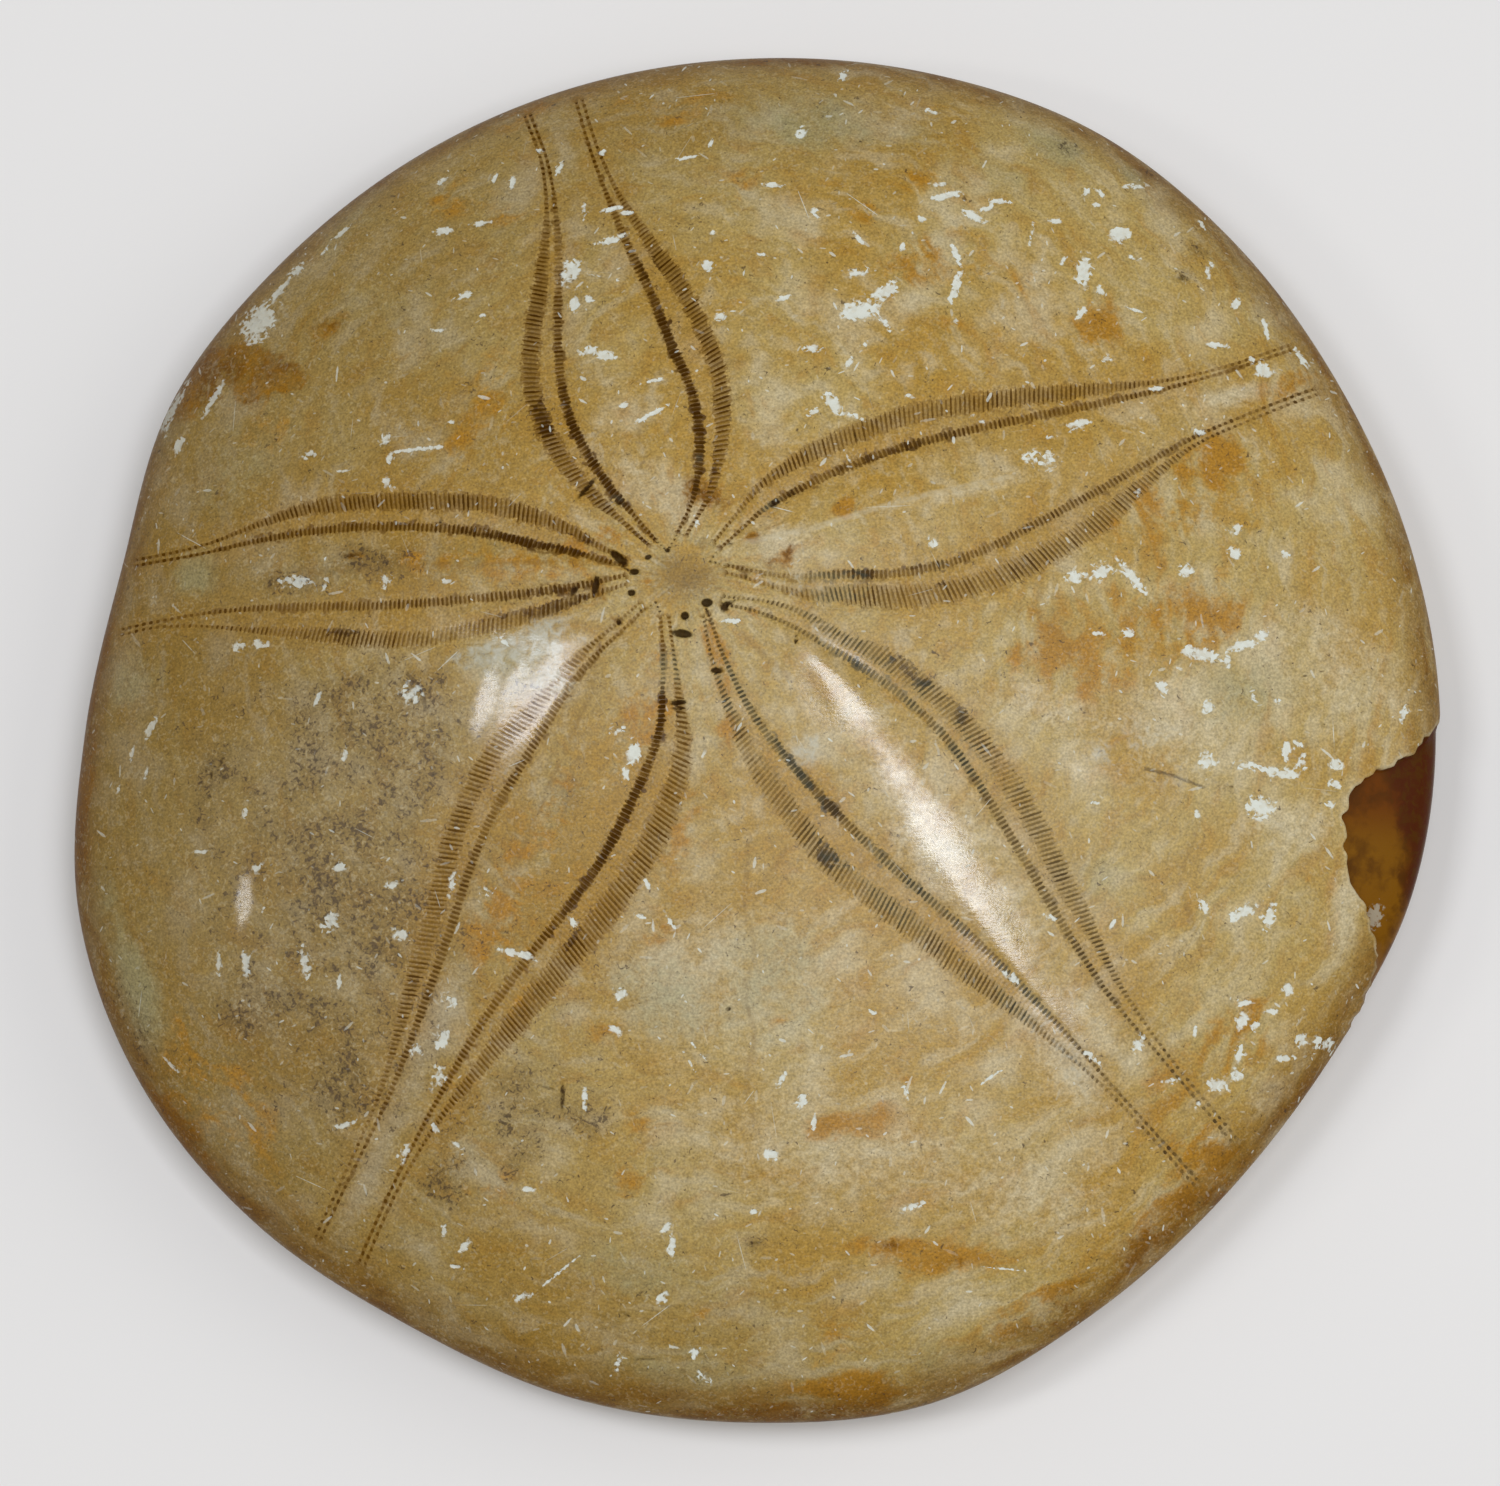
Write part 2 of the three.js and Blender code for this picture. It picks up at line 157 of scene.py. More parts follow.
# Chips where chalk shows through the polish: x, y, length, width, direction, how white
FLECKS = [
    # close to the apex
    (-7.3, -3.5, 1.4, 0.8, 70, 0.7), (-7.7, -4.8, 1.0, 0.5, 80, 0.6), (-8.3, -1.9, 0.8, 0.4, 10, 0.5),
    # between the front and right-front petals
    (8.1, 27.6, 2.3, 1.2, 10, 1), (9.9, 29.0, 2.2, 0.9, 35, 1), (9.7, 26.8, 1.7, 0.3, -50, 0.8),
    (14.7, 31.9, 1.4, 0.4, -70, 1), (14.7, 29.4, 2.4, 0.5, 72, 1), (14.7, 26.9, 0.4, 0.35, 0, 0.8),
    (16.0, 34.7, 1.8, 0.5, -28, 1), (14.0, 36.3, 2.2, 0.5, 10, 1), (13.6, 37.2, 0.9, 0.3, 10, 0.7),
    (17.8, 36.0, 1.2, 0.35, 0, 0.7), (16.9, 35.4, 0.8, 0.35, 20, 0.7), (21.5, 34.6, 0.9, 0.3, 0, 0.8),
    (23.5, 30.9, 2.5, 0.85, 86, 1), (24.7, 29.4, 0.75, 0.45, -50, 1), (23.3, 27.7, 1.0, 0.4, 70, 0.9),
    (26.0, 33.8, 1.3, 1.2, 0, 1), (24.6, 37.0, 0.8, 0.35, -50, 0.9), (23.6, 36.9, 0.75, 0.4, 60, 0.9),
    (24.4, 36.0, 0.45, 0.3, 0, 0.8), (27.1, 37.7, 1.5, 0.35, 10, 0.9), (27.0, 32.0, 0.8, 0.3, 0, 0.6),
    (32.2, 31.6, 1.4, 0.4, 80, 0.7), (27.0, 28.1, 1.6, 0.2, -16, 1), (34.0, 29.0, 0.95, 0.45, 55, 1),
    (36.1, 27.3, 1.4, 0.3, -80, 0.9), (31.8, 35.1, 0.9, 0.3, -70, 0.8), (32.7, 25.8, 1.7, 0.35, 0, 1),
    (35.9, 24.2, 1.3, 0.9, -30, 1), (35.1, 24.9, 0.8, 0.3, -40, 0.8), (38.6, 25.4, 1.6, 0.45, -52, 1),
    (25.1, 24.4, 0.7, 0.45, 0, 0.9), (4.9, 24.8, 1.1, 0.6, 0, 1), (6.3, 20.8, 1.7, 0.75, -50, 1),
    (5.0, 20.1, 0.8, 0.35, 30, 1), (8.0, 19.8, 1.2, 0.3, -20, 1), (7.4, 23.7, 0.9, 0.3, 60, 0.8),
    (11.6, 21.3, 0.9, 0.5, 10, 0.9), (2.0, 37.1, 1.6, 0.3, -5, 0.9), (4.9, 34.9, 0.6, 0.5, 0, 0.6),
    (12.3, 34.5, 0.5, 0.45, 0, 0.8), (11.0, 32.3, 0.6, 0.3, 70, 0.9), (1.3, 31.8, 0.8, 0.25, -20, 0.8),
    (13.0, 43.0, 0.9, 0.3, -20, 0.8), (6.7, 46.1, 1.0, 0.45, 70, 0.7), (3.9, 41.2, 1.0, 0.5, 70, 0.8),
    (8.0, 30.4, 1.2, 0.5, 10, 0.5), (22.1, 31.7, 0.8, 0.3, 70, 0.8), (8.0, 33.0, 0.9, 0.3, -50, 0.8),
    (8.5, 25.0, 0.6, 0.2, 60, 0.6), (19.9, 33.4, 1.3, 0.18, 80, 0.6), (2.9, 28.5, 0.9, 0.3, 20, 0.6),
    # on the right-front petal
    (28.4, 22.4, 1.0, 0.3, 0, 1), (23.1, 19.6, 1.7, 0.5, 20, 0.7), (21.2, 18.6, 0.7, 0.3, 10, 0.8),
    (31.4, 19.4, 0.8, 0.5, 0, 0.9), (27.1, 14.9, 0.5, 0.7, 0, 0.9), (4.4, 15.8, 1.0, 0.35, 20, 1),
    (7.3, 17.0, 0.9, 0.28, -60, 1), (16.2, 19.8, 0.9, 0.4, -20, 0.7), (20.5, 17.0, 1.8, 0.8, 0, 0.4),
    (-0.5, 5.5, 1.2, 0.32, 2, 1), (-2.9, 12.2, 0.35, 0.55, 0, 0.9), (13.1, 10.8, 0.5, 0.9, 20, 0.7),
    # right-hand side
    (33.8, 12.5, 1.0, 0.6, 20, 0.7), (33.7, 10.8, 0.8, 0.7, 0, 1), (37.2, 10.9, 0.5, 0.6, 0, 0.8),
    (22.8, 8.8, 1.0, 0.7, 0, 1), (24.7, 9.3, 1.3, 0.8, 20, 1), (26.7, 8.9, 2.6, 0.55, -48, 1),
    (30.4, 9.5, 0.9, 0.9, 0, 0.9), (31.4, 3.7, 2.6, 0.8, -10, 1), (33.0, 3.2, 0.6, 0.7, 0, 0.9),
    (34.2, 4.4, 2.3, 0.5, 15, 1), (35.5, 5.1, 1.1, 0.6, 35, 1), (26.3, 5.0, 0.9, 0.5, 0, 1),
    (24.3, 4.9, 0.6, 0.25, 0, 1), (28.6, 1.2, 1.3, 0.45, -62, 0.9), (31.7, 0.0, 0.8, 0.5, 70, 0.8),
    (34.9, 0.8, 0.7, 0.25, -60, 0.8), (36.5, 0.6, 0.4, 0.3, 0, 0.8), (45.3, 0.2, 1.2, 0.4, 75, 0.9),
    (40.5, -3.6, 0.8, 0.7, 0, 1), (40.4, -5.0, 0.9, 0.5, -10, 1), (40.0, -6.4, 0.6, 0.4, 0, 0.8),
    (37.1, -2.9, 1.6, 0.4, 85, 1), (37.9, -2.3, 0.8, 0.4, -50, 1), (38.2, -3.5, 1.3, 0.5, 80, 0.9),
    (36.5, -4.3, 2.4, 0.6, -5, 0.8), (34.4, -3.9, 1.8, 0.4, 0, 0.5), (35.2, -6.7, 1.7, 1.3, 0, 0.85),
    (31.6, -3.7, 0.8, 1.0, 0, 0.5), (31.0, -7.4, 0.4, 0.6, 0, 0.8), (24.0, -6.7, 0.6, 0.25, 0, 0.9),
    (34.1, -13.9, 2.0, 0.7, 20, 1), (35.8, -14.1, 1.8, 0.7, 75, 1), (31.4, -13.6, 1.0, 0.5, -60, 0.8),
    (25.1, -14.9, 0.8, 0.3, 60, 1), (37.0, -19.0, 0.8, 0.6, 80, 1), (34.0, -20.0, 0.8, 0.3, 10, 0.8),
    (33.9, -21.2, 1.0, 0.6, 70, 0.8), (34.8, -21.5, 0.7, 0.45, 60, 0.8), (36.0, -20.5, 0.8, 0.3, 0, 0.8),
    (38.0, -22.3, 0.9, 0.6, 80, 0.9), (39.5, -22.5, 1.3, 0.8, 0, 0.5), (36.8, -23.6, 1.1, 0.35, 0, 0.8),
    (33.7, -23.4, 1.5, 0.5, 75, 0.8), (33.5, -24.8, 0.8, 0.7, 0, 0.8), (32.2, -25.5, 1.2, 0.8, 0, 0.9),
    (30.7, -22.0, 0.8, 0.25, 80, 0.8), (29.0, -25.3, 1.0, 0.35, 10, 0.8), (26.8, -22.8, 1.0, 0.7, 80, 0.9),
    (43.5, -13.9, 1.5, 0.9, 80, 0.8),
    # on the right-back petal
    (18.3, -18.6, 1.6, 0.5, -40, 0.8), (21.0, -14.5, 0.9, 0.35, -20, 0.9),
    (23.8, -23.9, 1.3, 0.35, -38, 0.7), (11.0, -26.3, 0.8, 0.35, -70, 1), (8.8, -20.9, 0.5, 0.25, -20, 0.9),
    (16.8, -25.2, 1.7, 0.14, 35, 0.6), (11.5, -33.8, 1.5, 0.45, 20, 0.8), (17.5, -38.0, 3.0, 0.1, -5, 0.7),
    (30.8, -26.9, 0.6, 0.35, 70, 0.9),
    # between the two back petals
    (4.0, -26.8, 1.0, 0.7, 80, 1), (2.6, -25.4, 1.0, 0.4, 60, 1), (4.8, -28.3, 0.8, 0.3, 85, 1),
    (1.9, -30.4, 0.9, 0.65, 0, 1), (0.6, -34.2, 0.5, 0.3, 20, 1), (-8.3, -19.7, 1.0, 0.6, 20, 0.9),
    (-8.6, -22.0, 0.9, 0.5, -10, 0.7), (-2.8, -23.7, 2.2, 0.12, -50, 0.7),
    (-3.6, -24.2, 2.0, 0.12, -60, 0.6), (-5.0, -36.6, 1.7, 0.45, 85, 1), (-5.3, -35.2, 0.9, 0.4, 30, 0.9),
    (-5.8, -40.0, 0.9, 0.5, 40, 0.8), (-12.7, -38.1, 3.2, 0.16, 37, 0.8), (-15.4, -39.8, 1.0, 0.5, 10, 0.8),
    (-20.8, -35.3, 0.8, 0.35, 80, 0.9), (-19.4, -36.4, 0.9, 0.4, 40, 0.7),
    (-20.0, -37.7, 0.9, 0.25, -10, 0.9), (-14.9, -32.6, 0.7, 0.35, 0, 0.8),
    (-10.8, -26.6, 1.4, 0.28, 88, 0.6), (-9.0, -44.4, 0.9, 0.4, 70, 0.8), (-3.6, -43.6, 0.8, 0.4, 60, 0.7),
    (-3.0, -45.2, 0.9, 0.4, -40, 0.7),
    # on the left-back petal
    (-15.4, -16.8, 2.6, 0.4, -14, 1), (-11.5, -14.7, 0.7, 0.7, 0, 0.9), (-17.5, -12.6, 0.8, 0.45, 0, 0.6),
    (-20.0, -19.9, 1.0, 0.7, 0, 0.6), (-20.6, -22.3, 1.3, 0.8, 70, 0.6), (-22.4, -23.2, 0.8, 0.6, 0, 0.7),
    (-20.9, -25.0, 1.2, 0.7, 70, 0.6), (-21.2, -28.5, 0.9, 0.35, -60, 0.9),
    (-23.4, -30.0, 1.2, 0.5, 70, 0.8), (-19.7, -29.6, 0.9, 0.3, -30, 0.8),
    (-19.7, -12.1, 1.3, 0.45, 80, 0.6), (-6.3, -12.4, 0.8, 0.35, -70, 0.9), (-6.8, -14.4, 0.8, 0.3, -15, 1),
    (-4.7, -15.0, 1.0, 0.25, -60, 0.8),
    # left-hand side
    (-41.5, -0.3, 1.3, 0.45, 62, 0.8), (-42.9, -2.0, 1.0, 0.25, 75, 0.9), (-41.8, -3.5, 0.8, 0.22, 75, 0.8),
    (-43.9, -4.4, 0.7, 0.25, 75, 0.8), (-33.5, 5.0, 1.2, 0.5, 0, 0.8), (-35.0, 5.0, 0.8, 0.5, 0, 0.7),
    (-16.3, 4.5, 1.7, 0.22, -42, 1), (-22.6, 1.0, 1.1, 1.0, 0, 0.6), (-29.3, 1.0, 1.0, 0.3, 60, 0.7),
    (-27.3, -3.0, 0.8, 0.3, 75, 0.7), (-27.7, -10.7, 0.9, 0.6, 20, 0.8), (-24.0, -11.9, 1.0, 0.5, 10, 0.7),
    (-28.3, -14.4, 1.2, 0.8, 45, 0.8), (-23.5, -15.3, 1.1, 0.7, -20, 0.7),
    (-30.2, -17.0, 2.0, 0.6, -78, 0.8), (-34.4, -16.9, 1.6, 0.45, 88, 0.7),
    (-36.4, -16.8, 1.6, 0.35, 88, 0.7), (-33.6, -10.5, 0.7, 0.5, 0, 0.7), (-37.5, -9.2, 0.9, 0.25, 0, 0.7),
    (-34.5, -6.7, 0.6, 0.4, 70, 0.6), (-27.8, -18.5, 1.2, 0.25, 85, 0.8),
    (-40.0, -23.7, 1.5, 0.2, -46, 0.9), (-27.6, -28.1, 1.5, 0.3, 15, 0.8),
    (-33.2, -13.5, 2.0, 0.1, 65, 0.6), (-31.0, 9.3, 1.9, 0.7, -10, 0.6), (-28.9, 8.9, 0.8, 0.4, 70, 0.7),
    (-24.5, 9.1, 0.8, 0.45, 0, 0.7), (-20.2, 8.7, 0.7, 0.3, 0, 0.7), (-28.9, 10.8, 1.1, 0.12, 92, 0.8),
    (-24.6, 8.7, 0.5, 0.3, 80, 0.8),
    # between the left-front and front petals
    (-34.5, 28.7, 2.8, 2.1, 60, 1), (-33.2, 30.9, 2.0, 0.5, 50, 0.9), (-31.9, 32.5, 1.4, 0.6, 50, 0.8),
    (-28.7, 35.2, 1.9, 0.3, 42, 0.9), (-30.0, 33.7, 0.9, 0.25, 60, 0.7), (-21.2, 34.5, 1.3, 0.45, 5, 1),
    (-18.5, 34.9, 1.6, 0.35, 6, 1), (-16.4, 38.0, 0.8, 0.45, 80, 1), (-17.7, 38.4, 0.7, 0.3, 75, 0.9),
    (-21.5, 38.5, 0.8, 0.3, 30, 0.9), (-40.0, 20.1, 1.1, 0.6, 60, 1), (-40.9, 23.0, 3.6, 0.8, 62, 0.7),
    (-37.6, 23.1, 2.5, 0.4, 60, 0.7), (-30.2, 18.4, 0.9, 0.5, 10, 0.9), (-24.8, 19.1, 0.9, 0.6, 60, 0.8),
    (-22.4, 18.2, 3.4, 0.25, 3, 0.8), (-24.4, 17.7, 0.7, 0.5, 70, 0.9), (-24.6, 16.0, 1.1, 0.45, 85, 0.9),
    (-21.2, 26.9, 1.0, 0.25, 0, 0.7), (-27.7, 17.0, 0.9, 0.15, 0, 0.8), (-19.5, 29.4, 1.2, 0.35, 10, 0.6),
    (-20.0, 20.0, 0.6, 0.3, 0, 0.7), (-18.0, 27.8, 0.5, 0.2, 0, 0.8),
    # on the front petal
    (-13.1, 38.9, 0.9, 0.45, 60, 0.9), (-14.7, 40.5, 0.8, 0.25, -20, 0.8), (-10.1, 40.0, 0.6, 0.4, 0, 0.9),
    (-9.3, 35.5, 1.7, 0.3, 10, 0.9), (-11.2, 35.4, 0.9, 0.35, 85, 0.6), (-8.3, 35.2, 0.9, 0.35, 0, 1),
    (-9.3, 33.1, 2.2, 0.45, 20, 0.9), (-12.0, 30.8, 1.7, 1.0, 70, 0.9), (-11.6, 28.5, 1.4, 0.7, 82, 1),
    (-10.6, 28.7, 0.6, 0.4, 0, 1), (-9.8, 30.3, 1.6, 0.2, -12, 0.7), (-10.5, 24.8, 1.1, 0.6, 0, 1),
    (-9.4, 24.4, 1.2, 0.6, -15, 1), (-8.0, 20.7, 0.6, 0.5, 0, 1), (-6.0, 20.1, 2.4, 0.3, 28, 1),
    (-5.9, 22.5, 1.1, 0.3, 5, 1), (-2.4, 31.0, 0.9, 0.7, 0, 1), (-1.5, 27.1, 0.8, 0.5, 0, 1),
    (-3.9, 39.4, 1.6, 0.2, 10, 0.7), (-2.5, 40.4, 0.7, 0.2, 70, 0.8), (-2.2, 33.4, 0.5, 0.3, 0, 0.8),
]

# Stains, with patches of polish, wear, painted shade and painted sheen: x, y, length, width, direction,
# strength
STAIN_FALL = 1.2  # how quickly a stain fades outwards from its middle
STAINS = {
    "ochre": [
        (-1.6, 3.2, 5, 1.2, -75, 0.8), (-0.8, -1.6, 4, 1.3, -85, 0.7), (-7, -1, 5.5, 2.6, 75, 0.45),
        (24.5, 26.6, 4.5, 3.8, 60, 1), (14.2, 26.5, 2.3, 1.3, -20, 0.8), (11.5, 31.2, 8, 4, 30, 0.55),
        (9, 35, 5, 2.2, 0, 0.45), (12, 37.6, 3, 2.5, 0, 0.5), (0, 37, 6, 2.5, 0, 0.45),
        (38, 23.6, 5, 2.6, 20, 1), (32.6, 17.3, 4, 3.2, 0, 0.85), (27.5, 13.3, 5, 2.8, 30, 0.6),
        (31.5, 7, 6, 3.8, 20, 0.7), (22, 3.3, 8, 2.8, -5, 0.9), (20.5, 6.3, 2, 4, 0, 0.5),
        (24, 1.3, 3, 2, 0, 0.6), (28, 6.3, 4, 3, 0, 0.5), (26, -2.5, 3.5, 3, 0, 0.4),
        (7.3, 13.4, 1.9, 1.6, 0, 1), (0.8, 11.3, 0.9, 1.0, 0, 1), (3.7, 10.4, 1.3, 0.5, 35, 1),
        (-6.2, 8.3, 0.5, 0.9, 0, 0.8), (-9, 11.4, 1.6, 1.2, 0, 0.7), (2.7, 12.4, 1.4, 0.9, -40, 0.6),
        (14.8, -37.4, 7.4, 2.8, 16, 1), (9.6, -36.6, 5.5, 1.5, 0, 0.8), (7, -28.3, 6, 3, 10, 0.85),
        (2.3, -21.6, 2.2, 1.5, 0, 0.7), (11, -25.3, 1.8, 1.3, 0, 0.6), (5.9, -42.7, 3.4, 1.8, 0, 0.9),
        (6.8, -45.7, 8, 2.8, -5, 1), (20, -40, 12, 3.4, 32, 0.5), (29, -33.5, 9, 3, 46, 0.6),
        (-3, -41.2, 1.3, 1, 0, 0.8), (-8, -32, 2.6, 2.8, 0, 0.65), (-17.5, -32.8, 5, 2.8, 0, 0.6),
        (-7.6, -28, 3, 2.2, 0, 0.5), (31.5, -30.5, 5, 3.8, -45, 1), (-4.2, -9.5, 8, 2.2, 72, 0.8),
        (-6.3, -15.8, 4.5, 1.5, 20, 0.7), (-9.5, -22, 4, 3, 0, 0.4), (-16.6, -13.5, 8, 3.4, 62, 0.75),
        (-13.3, -7.5, 6, 3, 62, 0.6), (-36.5, -26.5, 16, 9, -50, 0.33), (-38.5, -21, 6, 3, -70, 0.2),
        (-40.3, -26.3, 4, 3, -50, 0.45), (-41.5, -10, 7, 4, 90, 0.2), (-29.3, 27.8, 4, 2.2, 25, 0.3),
        (-20.5, 37, 6, 3.8, 0, 0.42), (-16.5, 35.3, 3, 2.2, 0, 0.35), (-15, 44, 6, 2.5, 20, 0.6),
        (-19, 19, 7, 4, 30, 0.3), (-17, 23, 5, 3, 80, 0.5), (-5, 43.5, 10, 4, 0, 0.45),
        (-14, 9.6, 13, 2.2, 0, 0.6), (-21, 10.4, 6, 1.6, 0, 0.6), (-33, 20, 6, 5, 0, 0.35),
        (34, -22, 7, 4, 40, 0.45), (39, -14, 4, 8, 0, 0.35), (17, 25, 8, 5, 0, 0.15),
        (19.6, 30, 5, 3, 0, 0.3), (-9.1, 11.8, 2.2, 1.3, -40, 1), (-11.4, 10.8, 1.8, 1.5, 0, 0.9),
        (3.3, 9.8, 1.6, 1.2, 0, 1), (1.3, 8.2, 1.4, 1.0, 0, 1), (-1.6, 4.3, 2.6, 1.0, -60, 1),
        (1.1, 6.2, 1.4, 1.1, 0, 1), (-5.8, 3.1, 1.4, 1.1, 0, 0.8), (-2.2, 14.3, 3.4, 2.2, -10, 1),
        (-5.4, -0.4, 1.6, 1.4, 0, 0.9), (-6.3, -2.6, 2.0, 1.2, 60, 0.8), (4.6, -6.8, 1.4, 1.2, 0, 0.5),
        (27, 5, 17, 10, 0, 0.35), (31, 15, 14, 8, 30, 0.3), (-15, -18, 26, 6, 62, 0.3),
        (30, -24, 14, 8, 45, 0.3),
    ],
    "brown": [
        (-38.4, 25.4, 4.6, 2.8, 20, 1), (-35.8, 25.1, 5.4, 2.6, -20, 1), (-33, 24.5, 4.8, 2.0, -25, 1),
        (-36.7, 26.6, 5, 1.1, -5, 1), (-33.2, 25.6, 5, 1.0, -24, 1), (-29.3, 27.8, 3.6, 2.0, 25, 0.55),
        (-34.6, 23.1, 3.4, 2.2, 30, 0.8), (-38.4, 23.6, 4, 3, 20, 0.7), (-40.6, 22.6, 3, 3, 0, 0.5),
        (3.5, 47.6, 8, 1.4, -3, 0.9), (2.5, -47.6, 13, 1.4, 0, 1), (-47.2, -3, 26, 2.6, 88, 1),
        (-45.6, 7, 9, 1.6, 80, 0.7), (27.5, -35.8, 10, 2.4, 44, 0.5), (21, -41, 10, 2.0, 35, 0.5),
        (-26, 39.8, 12, 1.8, 34, 0.6), (-39.5, -28, 8, 2, -52, 0.7), (-2.4, 14.2, 3.4, 2.0, -15, 1),
        (-3.3, 15.3, 1.4, 1.2, 0, 0.8), (-1.2, 13.4, 2.0, 1.0, 20, 0.6), (3.4, 10.2, 1.9, 1.1, 60, 0.9),
        (1.0, 11.2, 1.5, 1.2, 0, 0.8), (2.2, 9.4, 1.8, 0.9, -10, 0.8), (-27, 10.9, 1.8, 0.6, 0, 0.8),
        (9.8, -36.5, 2, 0.9, 0, 0.8), (14, -37.7, 2.4, 0.8, 10, 0.6), (-3.9, 13.0, 1.2, 0.6, 70, 0.5),
        (24.4, 27.2, 1.6, 2.2, 0, 0.25), (-10.8, 11.2, 1.0, 0.8, 0, 0.4), (31, -29.4, 2.2, 1.2, -45, 0.5),
        (-9.7, 7.8, 1.2, 1.9, 0, 1), (-11.6, 7.8, 1.7, 1.5, 0, 1), (-8.2, 5.6, 1.0, 0.8, 0, 1),
        (0.3, 8.6, 0.8, 0.7, 0, 1),
    ],
    # pale patches: partly the stone's own pale tone, partly painted sheen where the surface catches soft
    # light, as low on the right-back petal and on the right
    "cream_and_sheen": [
        (30, -1, 12, 9, 0, 0.6), (36, -9, 8, 8, 0, 0.3), (22, -24, 9, 4, -48, 0.9),
        (20, -33, 13, 8, 0, 0.5), (12, 12, 10, 4, 10, 0.25), (20, 0, 10, 5, 0, 0.4),
        (14, -10, 18, 6, -54, 0.6), (-14, 2, 7, 6, 0, 0.5), (1, -19, 20, 14, 0, 0.5),
        (-5, -19, 7, 6, 0, 0.6), (6, -30, 22, 10, 0, 0.5), (-8.4, 22.5, 17, 5.5, 105, 0.2),
        (-12.2, 31, 8, 1.6, 84, 0.6), (-7.5, 15.6, 5, 3, 0, 0.4), (38, 5, 10, 8, 0, 0.35),
        (42, 2, 9, 9, 0, 0.45), (41, -13.5, 9, 3, 75, 0.7), (38, -8, 6, 4, 0, 0.5), (3, 11, 6, 2.4, 0, 0.7),
        (34, 22.2, 7, 1.6, 18, 0.8), (-21, -21.5, 12, 2.4, 62, 0.9), (-26, -31.5, 12, 2.2, 62, 0.8),
        (-13, 41, 9, 1.6, 105, 0.6), (24.5, -22, 12, 3, -46, 0.5), (10, -12, 8, 8, 0, 0.2),
        (18, 34, 10, 5, 0, 0.1), (30, 22, 8, 4, 0, 0.2), (-11, 16.5, 6, 3, 40, 0.3),
        (15, 14.4, 12, 0.7, 14, 0.6), (19, -10, 14, 5, -55, 0.35), (-34, 29, 5, 4, 50, 0.5),
    ],
    "green": [
        (5, 41.8, 8, 4.5, 5, 0.9), (21.5, 40.3, 7, 3.2, -25, 0.9), (27, 38.6, 3, 1.6, -35, 0.9),
        (12, 41, 7, 4, 0, 0.5), (18, 37.7, 9, 3, -12, 0.5), (-38.6, 10.4, 3.4, 4, 0, 1),
        (-43, 3, 5, 6, 80, 0.5), (-42.6, -18, 10, 3.4, -72, 1), (-45, -11, 9, 3.4, 85, 0.4),
        (34, 1.2, 8, 6, 0, 0.6), (-6, -20, 8, 6, 0, 0.6), (-8, -38, 9, 5, 0, 0.5), (12, -44, 8, 3, 10, 0.5),
        (-28, 36, 9, 4, 34, 0.4), (-36, 17.5, 9, 9, 0, 0.45), (-15, 3.2, 9, 5, 10, 0.7),
        (-41, 21, 4, 3, 60, 0.7), (24, -12, 9, 7, -50, 0.4), (3, -17, 8, 6, 0, 0.35),
        (-30, -30, 7, 4, 0, 0.3), (42, 10, 6, 8, 0, 0.3), (-3.8, 8.5, 9, 8, 0, 0.1),
        (-25, 30, 12, 9, 0, 0.3), (-3, 43, 14, 6, 0, 0.4), (-5, -45, 16, 5, 0, 0.5),
        (0, -40, 14, 6, 0, 0.3), (1, -20, 12, 9, 0, 0.4),
    ],
    "grey": [
        (-27, -12, 26, 20, -60, 1), (-25, 0, 15, 9, -10, 1), (-22, -3, 8, 6, 0, 1),
        (-36.8, -3.5, 4, 4, 80, 1), (-33, -20, 9, 7, 0, 1), (-27, -25, 10, 8, 0, 1),
        (-15.5, -27, 9, 9, 0, 0.8), (-26, 10.6, 11, 3, 0, 1), (-31, 9.2, 7, 2.6, 0, 0.9),
        (-20, -32, 10, 7, 0, 0.7), (5.5, 42.6, 4, 1.5, -5, 0.9), (30.3, 30.8, 1.6, 1.4, 0, 1),
        (34.3, 30.5, 1.2, 1.2, 0, 0.9), (22.5, 40.3, 3.2, 1.6, -25, 1), (31.6, 33, 2.2, 1.2, -30, 0.8),
        (-43, -20, 7, 3, -68, 0.9), (-7.4, -37.8, 3, 2.6, 0, 0.7), (-8.8, -42, 4, 3, 0, 0.7),
        (0.6, -36.4, 2.4, 1.6, 0, 0.6), (-12, -6.5, 4, 3, 60, 0.8), (-13, -13.5, 3, 3, 0, 0.5),
        (-10.5, -28, 5, 5, 0, 0.6), (28, 39, 3, 1.4, -40, 0.8), (33, -5.5, 4, 1.4, 0, 0.6),
        (-2.4, 11.0, 1.6, 1.4, 0, 0.6), (-15.5, 1.5, 6, 6, 0, 0.4), (-34, 19, 10, 8, 0, 0.25),
        (-20, 27, 12, 10, 0, 0.2),
    ],
    "gold": [
        (-11, -10, 27, 7, 62, 0.8), (-20, -28, 14, 5, 62, 0.7), (-22, 10, 34, 6, 0, 0.6),
        (-3.8, 8.5, 6, 5, 0, 0.6), (15, 32, 9, 8, 0, 0.35), (-11, -14, 8, 5, 62, 0.5),
        (33, 16, 10, 8, 20, 0.8), (24, 22, 12, 7, 20, 0.2), (32, 33, 7, 7, 0, 0.25),
        (-9, -8, 12, 8, 70, 0.5), (28, 4, 16, 10, 0, 0.5), (-20, 20, 14, 12, 0, 0.4),
        (4, -8, 10, 8, 0, 0.3), (32, -28, 10, 8, 0, 0.3), (14, 22, 12, 8, 0, 0.3),
    ],
    "polish": [  # where the polish still shines
        (6.8, 0.9, 7.5, 5.4, -52, 1), (10.6, -4.6, 6, 3, -58, 0.55), (14, -10.2, 10, 4.6, -58, 1),
        (17.5, -15.5, 8, 4.6, -54, 0.85), (21.5, -21, 8, 4, -50, 0.5), (-13.9, 0.2, 11, 3.4, 56, 1),
